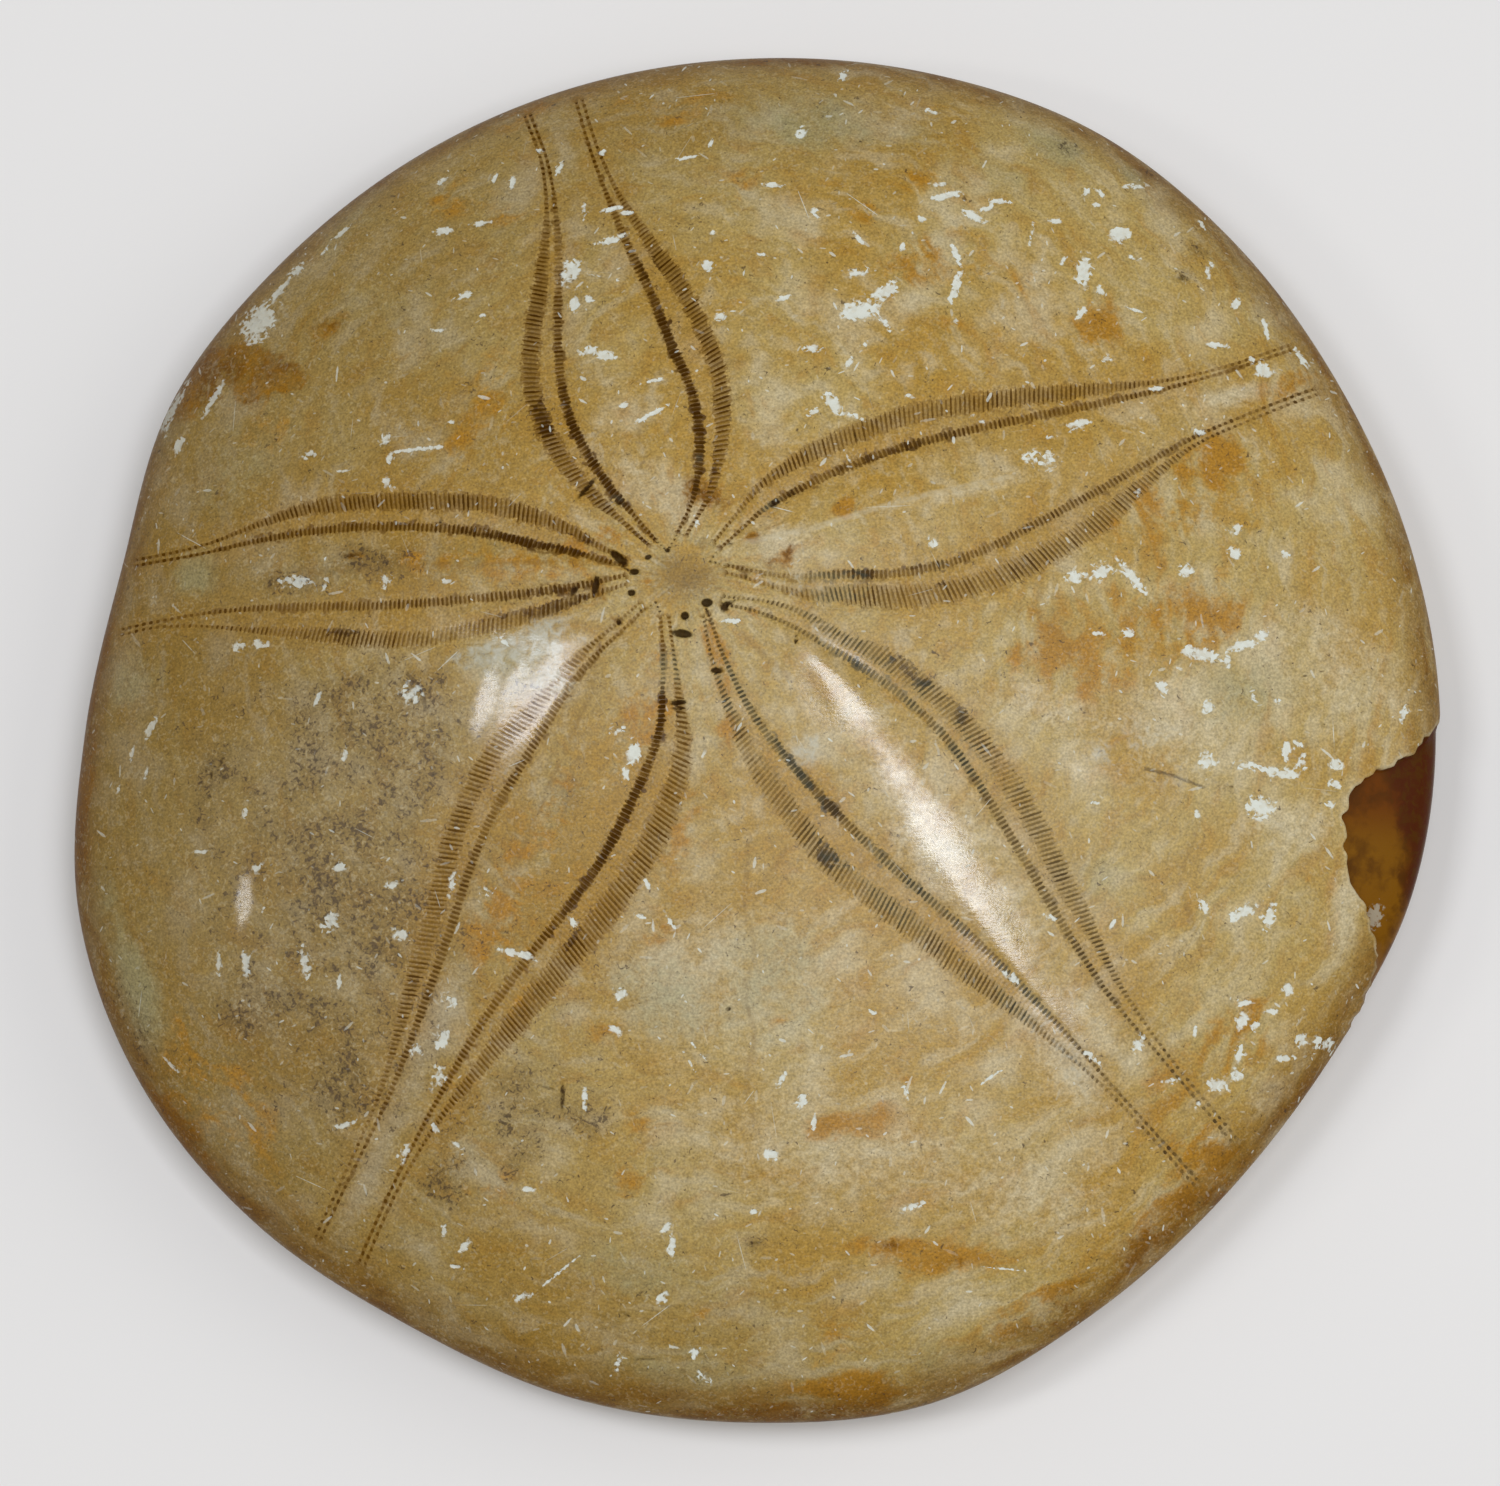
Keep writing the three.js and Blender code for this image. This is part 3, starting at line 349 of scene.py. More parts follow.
        (-17.4, 0.6, 6.5, 1.8, 72, 0.8), (-15.4, 1.4, 6, 1.6, 66, 0.7), (-17, 5.0, 11, 2.0, -12, 0.6),
        (-34.5, -12.8, 4.6, 1.4, 84, 1), (20, 1, 8, 4, -10, 0.3), (23, -4, 8, 6, -60, 0.3),
    ],
    "worn": [  # where the rows are rubbed away
        (-15.4, 4.2, 9, 3.2, 14, 1), (-12.4, 1.8, 5, 3.2, 55, 0.6), (-20.5, 5.2, 6, 2.4, 0, 0.6),
        (3.2, 8.4, 6, 2.2, -10, 0.7), (5.2, 4.6, 5, 2.2, -35, 0.6), (1.5, -3.5, 5, 2.6, -60, 0.6),
        (-5.0, 1.8, 3, 2.2, 90, 0.5), (17.6, -4.4, 3.4, 2.6, -60, 0.8), (-13, 33, 11, 3.4, 96, 0.5),
        (30, 24.2, 5, 1.6, 15, 0.5), (-12.2, -6.6, 2.4, 1.6, 60, 0.5), (15.2, 17.8, 2.6, 1.4, 20, 0.4),
    ],
    "painted_sheen": [  # pale patches of painted sheen, where the polish catches soft light
        (-15.2, 4.0, 9, 3.0, 14, 1), (-12.4, 1.8, 5, 3.2, 55, 0.5), (3.0, 8.0, 7, 2.6, -10, 0.4),
        (5.2, 4.4, 6, 2.6, -35, 0.35), (27, -3.5, 12, 7, -10, 0.35), (10.5, -0.5, 5, 3, -50, 0.3),
        (36, -9, 7, 4, 0, 0.3), (-33, 29, 6, 4, 50, 0.3), (21.5, -23.5, 9, 4, -48, 0.35),
        (4.6, -3.3, 2.8, 2.2, -50, 0.8),
    ],
    "dark": [  # where the inner rows are filled so full that their pores run together
        (-10.2, 18.2, 15, 2.4, 116, 0.9), (-2.6, 17, 9, 2.2, 90, 1), (-4.9, 26, 13, 2.2, 110, 1),
        (8.5, 16.2, 17, 2, 24, 0.45), (20, 14, 18, 2.2, 25, 0.55), (9.5, 9.4, 7, 1.8, 5, 1),
        (13.5, -4.5, 26, 2.2, -52, 0.5), (4.5, -4.5, 16, 2.2, -62, 0.9), (-9.5, -10.5, 20, 2.4, 63, 1),
        (-5.6, -1.0, 5, 2.4, 80, 1), (-15.5, -11, 12, 2, 68, 0.6), (-20, 6.2, 26, 1.8, 3, 0.8),
        (-12.5, 7.3, 5, 2.2, 8, 1), (-20, 11.4, 28, 2, -2, 0.9), (11.3, 2.3, 4, 1.7, -38, 1),
        (15.0, -0.9, 3, 1.7, -48, 0.8), (5.8, -10.4, 2.4, 2.0, -45, 0.9), (3.4, -7.6, 2, 1.6, -50, 0.7),
        (10.2, 17.4, 3, 1.6, 30, 0.6), (-13.7, 21, 6, 1.6, 100, 0.6), (13.5, 8.2, 3, 1.6, 20, 0.6),
    ],
    "painted_shade_and_dark_tone": [  # broad darker stretches: mostly painted shade over the left side and along the margins, with a darker tone of the stone about the apex
        (-38, -24, 18, 11, -55, 0.4), (-45.5, -8, 6, 28, 0, 0.6), (35, 33, 30, 7, -46, 0.3),
        (-40, 4, 34, 110, 0, 0.9), (-46, -6, 12, 50, 5, 0.6), (-22, 34, 44, 26, 30, 0.6),
        (-12, -44, 60, 22, -14, 0.6), (-36, -30, 36, 30, -50, 0.6), (0, 44, 50, 14, 0, 0.45),
        (-20, -14, 34, 44, -30, 0.4), (-3.6, 8.4, 4.8, 3.0, -5, 0.9), (-21, 19, 16, 12, 0, 0.3),
        (-22, 10, 14, 5, 0, 0.4), (-4.9, 9.4, 2, 1.6, 0, 0.5),
    ],
    "slate": [  # where the pores are filled with grey instead of brown
        (8, 2.6, 12, 4, -38, 1), (-0.6, 0.6, 4.5, 3, -60, 1), (-5, 2, 3, 4, 90, 1), (6.5, 8, 5, 2.5, 0, 1),
        (3, -4, 8, 3, -50, 0.9), (10.5, -12.5, 12, 4, -35, 0.9), (19, -19.5, 6, 3, -40, 1),
        (15, -3, 8, 3, -55, 0.7), (-8.5, 13.6, 4, 2, -50, 0.4), (14, 9, 4, 2, 10, 0.5),
        (2.2, 13.6, 2, 1.5, 30, 0.8), (-2.8, 16.5, 3, 0.8, 88, 0.7),
    ],
}

# Fine lines: kind (a vein is lighter than the stone, a seam a little darker), then points in order.
LINES = [
    ("crack", [(27.4, -4.3), (28.2, -4.4), (28.9, -4.75), (29.7, -4.75), (30.3, -5.05), (30.8, -5.4),
               (31.3, -5.45)]),
    ("crack", [(-22.9, 2.4), (-21.8, 1.3), (-21.6, -0.2)]),
    ("vein", [(0.5, 10.9), (4.5, 11.7), (8.5, 13.0), (12, 14.1), (18.5, 15.7)]),
    ("seam", [(-6.6, 16.5), (-6.9, 19.0), (-6.3, 22.5)]),
    ("seam", [(0.2, 4.6), (1.6, 3.2), (3.4, 1.6)]),
    ("seam", [(-9.6, 4.2), (-10.2, 0.5), (-13.0, -5.5), (-15.6, -11.5), (-17.2, -15.5)]),
    ("seam", [(-9.0, 9.9), (-16, 9.7), (-24, 9.9), (-30, 9.8)]),
    ("seam", [(0.6, -9.0), (0.2, -14.0), (1.0, -16.5), (0.1, -19.5), (0.9, -22.5), (0.2, -25.5),
              (0.9, -29.0)]),
    ("seam", [(3.4, -9.5), (1.0, -13.2)]),
    ("seam", [(31.0, -8.0), (29.6, -12.0), (31.2, -16.5)]),
    ("seam", [(20.5, 9.0), (20.2, 6.0), (22.4, 4.2), (22.0, 1.6)]),
]

# The plate missing from the right-hand margin: its ragged inner edge, from the front to the back.
BREAK_EDGE = np.array([
    (62.0, 6.0), (50.0, 2.2), (48.1, 0.1), (46.8, -1.5), (45.8, -2.4), (44.8, -2.9), (44.5, -3.5),
    (43.6, -3.8), (42.7, -4.4), (41.9, -5.0), (41.3, -6.3), (40.9, -7.2), (41.1, -8.1), (41.1, -9.4),
    (41.3, -10.8), (41.8, -12.3), (42.5, -13.2), (42.9, -14.4), (43.35, -15.6), (43.3, -16.8),
    (43.0, -18.2), (42.3, -19.6), (41.5, -20.9), (42.4, -24.0), (50.0, -27.0), (62.0, -31.0),
])
BREAK_DEPTH = 0.7
EDGE_STEP = 0.3  # its depth from the girth down
BREAK_DROP = 4.2  # how far down the edge it reaches, in mm of skin below the girth

# ================================================================ small numeric helpers


def smoothstep(x, low, high):
    t = np.clip((x - low) / (high - low), 0, 1)
    return t * t * (3 - 2 * t)


def plateau(x, low, full, waning, gone):
    """Rises from 0 to 1 between the first two places and falls back between the last two."""
    return smoothstep(x, low, full) * (1 - smoothstep(x, waning, gone))


def lengths(vectors):
    return np.hypot(*np.transpose(vectors))


def cubic(start, end, first, last, t):
    """A smooth way from start to end as t goes from 0 to 1, with the given slopes at its ends."""
    rise = end - start
    return start + first * t + (3 * rise - 2 * first - last) * t**2 + (first + last - 2 * rise) * t**3


def curve_through(knots, values):
    """A smooth function through given values."""
    knots = np.asarray(knots, float)
    values = np.asarray(values, float)
    slopes = np.gradient(values, knots)

    def at(x):
        x = np.clip(x, knots[0], knots[-1])
        i = np.clip(np.searchsorted(knots, x, side="right") - 1, 0, len(knots) - 2)
        span = knots[i + 1] - knots[i]
        return cubic(values[i], values[i + 1], slopes[i] * span, slopes[i + 1] * span, (x - knots[i]) / span)

    return at


def turned(points, degrees):
    """Points turned clockwise, so that a direction of that angle comes to lie along +X."""
    a = math.radians(degrees)
    x, y = points[..., 0], points[..., 1]
    return np.stack([x * math.cos(a) + y * math.sin(a), -x * math.sin(a) + y * math.cos(a)], -1)


def wave_set(count, wavelength):
    """Waves of random direction, rate and start, with lengths about the given one."""
    angles = rng.uniform(0, 2 * np.pi, count)
    rate = 2 * np.pi / (wavelength * rng.uniform(0.7, 1.6, count))
    return np.stack([rate * np.cos(angles), rate * np.sin(angles), rng.uniform(0, 2 * np.pi, count)], 1)


SWELLS = wave_set(9, 26)
RIPPLES = wave_set(14, 7)
DIMPLES = wave_set(16, 2.2)
RAGGED = wave_set(16, 0.9)


def waves(points, *heights):
    """Gentle unevenness: sets of waves added up, each to its own height."""
    total = np.zeros(len(points))
    for kit, height in heights:
        sines = [np.sin(points[:, 0] * kx + points[:, 1] * ky + start) for kx, ky, start in kit]
        total += height * (sum(sines) / math.sqrt(len(kit)))
    return total


def line_distance(points, line):
    """Distance of each point from an open line, positive on its left."""
    best = np.full(len(points), 1e9)
    signed = np.full(len(points), 1e9)
    for a, b in zip(line[:-1], line[1:]):
        step = b - a
        t = np.clip(((points - a) @ step) / (step @ step), 0, 1)
        distance = lengths(points - (a + t[:, None] * step))
        side = step[0] * (points[:, 1] - a[1]) - step[1] * (points[:, 0] - a[0])
        nearer = distance < best - 1e-9
        best = np.where(nearer, distance, best)
        signed = np.where(nearer, np.where(side < 0, -distance, distance), signed)
    return signed


def resampled(line, step):
    """Points along a line, about the given step apart."""
    line = np.asarray(line, float)
    along = np.concatenate([[0], np.cumsum(lengths(np.diff(line, axis=0)))])
    places = np.linspace(0, along[-1], max(2, int(along[-1] / step) + 1))
    return np.stack([np.interp(places, along, line[:, k]) for k in (0, 1)], 1)


def left_of(line):
    """For each point of a line, the direction square to it, to its left."""
    along = np.gradient(line, axis=0)
    return np.stack([-along[:, 1], along[:, 0]], 1) / lengths(along)[:, None]


def inside_ring(points, ring):
    """Whether each point lies inside a closed outline."""
    inside = np.zeros(len(points), bool)
    x, y = points[:, 0], points[:, 1]
    for (ax, ay), (bx, by) in zip(ring, np.roll(ring, -1, 0)):
        if ay != by:
            crosses = (ay > y) != (by > y)
            inside ^= crosses & (x < (bx - ax) * (y - ay) / (by - ay) + ax)
    return inside


def oval_distance(points, x, y, length, width, direction):
    """0 at the middle of an oval, 1 on its rim."""
    local = turned(points - np.array([x, y]), direction)
    return np.hypot(local[:, 0] / (length / 2), local[:, 1] / (width / 2))


def stained(name, points):
    """How strong a named patch is at each point: a stain, polish, wear, painted shade, painted sheen."""
    clear = np.ones(len(points))
    for *oval, strength in STAINS[name]:
        clear *= 1 - strength * np.exp(-STAIN_FALL * oval_distance(points, *oval) ** 2)
    return 1 - clear


# ================================================================ outline, dome and underside


def girth_point(angle):
    """The point of the widest outline in each direction from the origin."""
    count = len(GIRTH_RADII)
    place = (angle / (2 * np.pi) * count) % count
    i = np.floor(place).astype(int) % count
    before, here, after, beyond = (GIRTH_RADII[(i + k) % count] for k in (-1, 0, 1, 2))
    radius = cubic(here, after, (after - before) / 2, (beyond - here) / 2, place - np.floor(place)) - INSET
    return np.stack([radius * np.cos(angle), radius * np.sin(angle)], -1)


def fraction_from(centre):
    """A function that says how far out points lie: 0 at the centre, 1 at the margin."""
    rim = girth_point(np.linspace(0, 2 * np.pi, RIM_STEPS + 1)) - centre
    direction = np.unwrap(np.arctan2(rim[:, 1], rim[:, 0]))
    reach = lengths(rim)

    def fraction(points):
        away = points - centre
        heading = (np.arctan2(away[:, 1], away[:, 0]) - direction[0]) % (2 * np.pi) + direction[0]
        return lengths(away) / np.interp(heading, direction, reach)

    return fraction


from_apex = fraction_from(APEX)
from_mouth = fraction_from(MOUTH)


def petal_places(points):
    """For each petal: place along it, place across it, its half-widths, where it is highest, its length."""
    for petal in PETALS.values():
        along, across = turned(points - APEX, petal["direction"]).T
        s, left_outer, left_inner, right_inner, right_outer = np.transpose(petal["rows"]).astype(float)
        middle = curve_through(s, (left_inner + right_inner) / 2)(along)
        inner = curve_through(s, (left_inner - right_inner) / 2)(along)
        outer = curve_through(s, (left_outer - right_outer) / 2)(along)
        crest = np.interp(along, *np.transpose(petal.get("crest", [(0, 0)])))
        yield along, across - middle, inner, outer, crest, s[-1]


def petal_relief(points):
    """Crown between the inner rows, and the low band that the rows lie in, fading near apex and margin."""
    crown = np.zeros(len(points))
    valley = np.zeros(len(points))
    for along, across, inner, outer, crest, reach in petal_places(points):
        ahead = smoothstep(along, 2.5, 9)
        fade = ahead * (1 - 0.8 * smoothstep(along / reach, 0.35, 0.85))
        place = np.clip(across / (inner + 0.3), -1, 1)
        place = place - crest / inner * (1 - place**2)
        crown = np.maximum(crown, fade * np.cos(np.pi / 2 * np.clip(place, -1, 1)) ** 2)
        row = (np.abs(across) - (inner + outer) / 2) / ((outer - inner) / 2 + 0.9)
        fade = ahead * (1 - 0.5 * smoothstep(along / reach, 0.6, 0.95))
        valley = np.maximum(valley, fade * np.exp(-row**2))
    return crown, valley


def dome_profile(fraction, rise):
    """Height above the girth, from the apex out to the margin."""
    shoulder = EDGE_THICKNESS * np.sqrt(np.maximum(0, 1 - fraction**SHOULDER_POWER))
    return (rise - EDGE_THICKNESS) * (1 - fraction**DOME_POWER) + shoulder


def on_dome(flat, sink=0.0):
    """Points of the upper surface, or that far below it."""
    fraction = np.minimum(from_apex(flat), 1)
    crown, valley = petal_relief(flat)
    uneven = waves(flat, (SWELLS, 0.05), (RIPPLES, 0.012), (DIMPLES, 0.003))
    relief = (CROWN_HEIGHT * crown - VALLEY_DEPTH * valley + uneven) * (1 - fraction**10)
    height = GIRTH_HEIGHT + dome_profile(fraction, HEIGHT - CROWN_HEIGHT - GIRTH_HEIGHT) + relief
    return np.column_stack([flat, height - sink])


def on_underside(flat, fraction):
    """Round-over, flat band, hollow, mouth and the five furrows of the underside."""
    out = np.clip((fraction - BAND_OUTER) / (1 - BAND_OUTER), 0, 1)
    round_over = GIRTH_HEIGHT * (1 - np.sqrt(1 - out**2))
    inward = np.clip(1 - fraction / BAND_INNER, 0, 1)
    away = flat - MOUTH
    distance = lengths(away)
    heading = np.arctan2(away[:, 1], away[:, 0])
    nearest = np.max([np.cos(heading - math.radians(p["direction"])) for p in PETALS.values()], axis=0)
    furrow = FURROW_DEPTH * smoothstep(nearest, 0.93, 1) * smoothstep(inward, 0, 0.35)
    furrow *= smoothstep(distance, MOUTH_RADIUS, 2.2 * MOUTH_RADIUS)
    mouth = MOUTH_DEPTH * (1 - smoothstep(distance, 0.3 * MOUTH_RADIUS, 1.5 * MOUTH_RADIUS))
    uneven = np.abs(waves(flat, (SWELLS, 0.04), (RIPPLES, 0.02))) * smoothstep(inward, 0, 0.2)
    height = round_over + HOLLOW_DEPTH * smoothstep(inward, 0, 1) + furrow + mouth + uneven
    return np.column_stack([flat, height])

# ================================================================ the mesh, collected piece by piece

ROW_VALUES = ("phase", "zone", "slaty", "deep", "tick", "slit", "rows")


class Skin:
    """Vertices, the values the pores are drawn with, and faces."""

    def __init__(self):
        self.points = []
        self.values = {name: [] for name in ROW_VALUES}
        self.faces = []
        self.count = 0

    def add(self, points, **values):
        first = self.count
        self.points.append(np.asarray(points, float))
        for name in ROW_VALUES:
            self.values[name].append(np.broadcast_to(values.get(name, 0.0), (len(points),)).astype(float))
        self.count += len(points)
        return np.arange(first, self.count)


class Mask:
    """A fine grid that remembers which places are taken."""

    CELL = 0.08
    SIZE = 1300

    def __init__(self):
        self.taken = np.zeros((self.SIZE, self.SIZE), bool)

    def cell(self, points):
        i = np.clip(((points / self.CELL) + self.SIZE / 2).astype(int), 0, self.SIZE - 1)
        return i[:, 0], i[:, 1]

    def cover(self, points):
        self.taken[self.cell(points)] = True

    def cover_beside(self, line, across, low, high):
        """Takes the strip along a line between two distances to its left."""
        for offset in np.arange(low, high, 0.07):
            self.cover(line + across * offset)

    def grow(self, cells):
        for _ in range(cells):
            t = self.taken.copy()
            t[1:] |= self.taken[:-1]
            t[:-1] |= self.taken[1:]
            t[:, 1:] |= self.taken[:, :-1]
            t[:, :-1] |= self.taken[:, 1:]
            self.taken = t

    def free(self, points):
        return ~self.taken[self.cell(points)]


skin = Skin()
taken = Mask()

# ---------------------------------------------------------------- the zones of pores

LEFT, RIGHT = 0, 1
STEPS = 4  # mesh steps along the row for each pore
TICK_RIM = 1.15  # where a tick's groove ends, in half-lengths from its middle, and a slit's
SLIT_RIM = 1.1
ZONE_MARGIN = 0.32  # widest strip of coarser mesh beside a zone
# Columns across a zone: row, place across the row in half-lengths, share of the pore's depth
COLUMNS = [
    ("tick", -TICK_RIM, 0), ("tick", -0.65, 1), ("tick", 0.65, 1), ("tick", TICK_RIM, 0),
    ("slit", -SLIT_RIM, 0), ("slit", -0.75, 1), ("slit", 0.0, 1), ("slit", 0.75, 1), ("slit", SLIT_RIM, 0),
]


def zone_track(petal, side):
    """The middle line of a zone, with its directions and the half-sizes across it, STEPS times a pore."""
    stations = np.array(petal["rows"], float)
    columns = (1, 2) if side == LEFT else (4, 3)
    outer, inner = (curve_through(stations[:, 0], stations[:, column]) for column in columns)
    along = np.arange(stations[0, 0], stations[-1, 0] + 4, 0.02)
    middle = np.stack([along, (outer(along) + inner(along)) / 2], 1)
    inside = from_apex(turned(middle, -petal["direction"]) + APEX) < ROWS_END
    along, middle = along[inside], middle[inside]
    run = along / stations[-1, 0]

    tangent = np.gradient(middle, axis=0)
    tangent /= np.linalg.norm(tangent, axis=1)[:, None]
    outward = 1.0 if side == LEFT else -1.0
    normal = outward * np.stack([-tangent[:, 1], tangent[:, 0]], 1)
    half_gap = np.abs(outer(along) - inner(along)) / 2 * tangent[:, 0]
    slit = (DOT + (petal["slits"][side] - DOT) * plateau(run, 0.08, 0.28, 0.55, 0.82)) / 2
    tick = (DOT + (TICK - DOT) * plateau(run, 0.06, 0.25, 0.62, 0.85)) / 2
    fitting = np.minimum(1, 1.8 * half_gap / (TICK_RIM * tick + SLIT_RIM * slit))  # keeps the rows apart

    pitch = PORE_PITCH + (END_PITCH - PORE_PITCH) * smoothstep(run, 0.72, 0.95)
    phase = np.cumsum(lengths(np.gradient(middle, axis=0)) / pitch)
    pores = int(phase[-1] - phase[0] - 0.5)
    marks = phase[0] + np.arange(pores * STEPS + 1) / STEPS
    table = np.column_stack([middle, tangent, normal, half_gap, slit * fitting, tick * fitting])
    table = np.stack([np.interp(marks, phase, column) for column in table.T], 1)
    return table[:, 0:2], table[:, 2:4], table[:, 4:6], table[:, 6], table[:, 7], table[:, 8]


def zone_strip(petal, side, zone):
    """One zone of pores: a strip of fine mesh with a groove for every pore of its two rows."""
    middle, tangent, normal, half_gap, slit, tick = zone_track(petal, side)
    count = len(middle)
    groove = 0.5 + 0.5 * np.cos(2 * np.pi * np.arange(count) / STEPS)
    margin = np.minimum(ZONE_MARGIN, 0.35 * half_gap + 0.04)
    rows = {"tick": (-half_gap, tick, TICK_DEPTH), "slit": (half_gap, slit, SLIT_DEPTH)}

    def place(offset):
        lean = LEAN * np.maximum(0, offset)
        local = middle + normal * offset[:, None] + tangent * lean[:, None]
        return turned(local, -petal["direction"]) + APEX

    def values_at(offset, every=1):
        """Where the given offsets lie in each row: 0 on the row's middle, 1 at the ends of its pores."""
        across = {name: ((offset - row) / half)[::every] for name, (row, half, _) in rows.items()}
        return {"zone": zone, "slaty": petal["grey"][side], "deep": petal["brown"][side], **across}

    ids = []
    flats = []
    for name, across, share in COLUMNS:
        row, half, depth = rows[name]
        offset = row + across * half
        flats.append(place(offset))
        sink = depth * share * groove * np.minimum(1, half / 0.15) * (1 - stained("polish", flats[-1]))
        values = values_at(offset)
        ids.append(skin.add(on_dome(flats[-1], sink), phase=np.arange(count) / STEPS, rows=1.0, **values))
    for a, b in zip(ids[:-1], ids[1:]):
        quad = np.stack([a[:-1], a[1:], b[1:], b[:-1]], 1)
        skin.faces.append(quad[:, ::-1] if side == RIGHT else quad)

    # Coarse edges, one vertex a pore, joined to the fine columns by fans.
    low = -half_gap - TICK_RIM * tick - margin
    high = half_gap + SLIT_RIM * slit + margin
    edges = []
    for column, offset in ((ids[0], low), (ids[-1], high)):
        flat = place(offset)[::STEPS]
        edge = skin.add(on_dome(flat), phase=np.arange(len(flat)), **values_at(offset, STEPS))
        edges.append((edge, flat))
        near, far = edge[:-1], edge[1:]
        fine = [column[k:len(column) - STEPS + k:STEPS] for k in range(STEPS + 1)]
        fans = [(near, fine[0], fine[1]), (near, fine[1], fine[2]), (near, fine[2], far),
                (far, fine[2], fine[3]), (far, fine[3], fine[4])]
        for fan in fans:
            skin.faces.append(np.stack(fan, 1))

    (low_edge, low_flat), (high_edge, high_flat) = edges
    loop = np.concatenate([low_edge, [c[-1] for c in ids], high_edge[::-1], [c[0] for c in ids[::-1]]])
    ring = np.concatenate([low_flat, [p[-1] for p in flats], high_flat[::-1], [p[0] for p in flats[::-1]]])
    for share in np.linspace(0, 1, 30):
        taken.cover(place(low + share * (high - low)))
    return loop, ring


loops = []
for petal_number, petal in enumerate(PETALS.values()):
    for side in (LEFT, RIGHT):
        loops.append(zone_strip(petal, side, 2 * petal_number + side + 1))
taken.grow(3)

# ---------------------------------------------------------------- loose points of the dome

FILL_EDGE = 0.985  # where the filled dome meets the rings round the margin
SPACING = {"apex": 0.125, "pit": 0.11, "fine chip": 0.13, "chip": 0.2, "top": 0.56, "underside": 0.9}
HALF_SPAN = 51  # of a square that holds the whole outline
APEX_REACH = 4.3  # how far from the apex the mesh is fine everywhere

edge_line = resampled(BREAK_EDGE, 0.15)
edge_normal = left_of(edge_line)
edge_line = edge_line + edge_normal * waves(edge_line, (RAGGED, 0.1), (DIMPLES, 0.1))[:, None]

TIP_PITS = [(x, y, 0.26, 0.2, 0, 0.06) for tip in ROW_TIPS for x, y in resampled(tip, 0.3)]

gathered = []


def honeycomb(spacing, radius, uneven=0.18):
    """A slightly uneven honeycomb of points within a square about the origin."""
    rows = np.arange(-radius, radius + spacing, spacing * math.sqrt(3) / 2)
    columns = np.arange(-radius, radius + spacing, spacing)
    x, y = np.meshgrid(columns, rows)
    x = x + (np.arange(len(rows)) % 2)[:, None] * spacing / 2
    points = np.stack([x.ravel(), y.ravel()], 1)
    return points + rng.uniform(-uneven, uneven, points.shape) * spacing


def gather(points):
    """Take points that do not crowd those already placed."""
    points = points[from_apex(points) < FILL_EDGE - 0.005]
    gathered.append(points[taken.free(points)])


def gather_beside(line, across, offsets):
    for offset in offsets:
        gather(line + across * offset)


def gather_oval(x, y, length, width, direction, spacing):
    points = honeycomb(spacing, max(length, width) / 2 + 0.3)
    close = (np.abs(points[:, 0]) < length / 2 + 0.18) & (np.abs(points[:, 1]) < width / 2 + 0.18)
    points = turned(points[close], -direction) + np.array([x, y])
    gather(points)
    for nudge in (0, 0.07, -0.07):
        taken.cover(points + nudge)


gather_beside(edge_line, edge_normal, (-0.45, -0.18, -0.03, 0.09, 0.28, 0.55))
taken.cover_beside(edge_line, edge_normal, -0.55, 0.66)
for _, line in LINES:
    fine = resampled(line, 0.25)
    across = left_of(fine)
    gather_beside(fine, across, (-0.3, -0.1, 0.1, 0.3))
    taken.cover_beside(fine, across, -0.35, 0.36)
near_apex = honeycomb(SPACING["apex"], 5)
gather(near_apex[lengths(near_apex) < APEX_REACH] + APEX)
taken.cover(near_apex[lengths(near_apex) < APEX_REACH + 0.1] + APEX)
for *oval, _ in PITS:
    gather_oval(*oval, SPACING["pit"])
for *oval, _ in FLECKS:
    width = oval[3]
    gather_oval(*oval, min(SPACING["chip"], max(SPACING["fine chip"], width / 2.5)))
taken.grow(1)
gather(honeycomb(SPACING["top"], HALF_SPAN))

# ------------------------------------------------------------- faces: dome, rings round the margin, underside


def fill(loose, holes, rim):
    """Triangles over all points inside the rim and outside the holes, given as vertex numbers and places."""
    ids, flat = (np.concatenate(parts) for parts in zip(loose, *holes, rim))
    owner = np.full(len(flat), -1)
    edges = []
    start = len(loose[0])
    for number, (loop, _) in enumerate([*holes, rim]):
        k = np.arange(len(loop))
        edges += np.stack([start + k, start + (k + 1) % len(loop)], 1).tolist()
        owner[start:start + len(loop)] = number
        start += len(loop)
    made = delaunay_2d_cdt([Vector(p) for p in flat], edges, [], 0, 1e-7)
    source = np.array([origin[0] for origin in made[3]])
    triangles = source[np.array(made[2])]
    own = owner[triangles]
    keep = np.ones(len(triangles), bool)
    for number, (_, ring) in enumerate([*holes, rim]):
        same = np.flatnonzero((own == number).all(1))
        within = inside_ring(flat[triangles[same]].mean(1), ring)
        keep[same] = within if number == len(holes) else ~within
    return ids[triangles[keep]]


SECTORS = 480  # points of each ring
TURNS = 12  # rings round the edge between the girth and the flat band
angles = 2 * np.pi * np.arange(SECTORS) / SECTORS
girth_flat = girth_point(angles)


def ring_on_dome(fraction):
    flat = APEX + (girth_flat - APEX) * fraction
    return skin.add(on_dome(flat)), flat


def ring_below(fraction):
    flat = MOUTH + (girth_flat - MOUTH) * fraction
    return skin.add(on_underside(flat, np.full(SECTORS, fraction))), flat


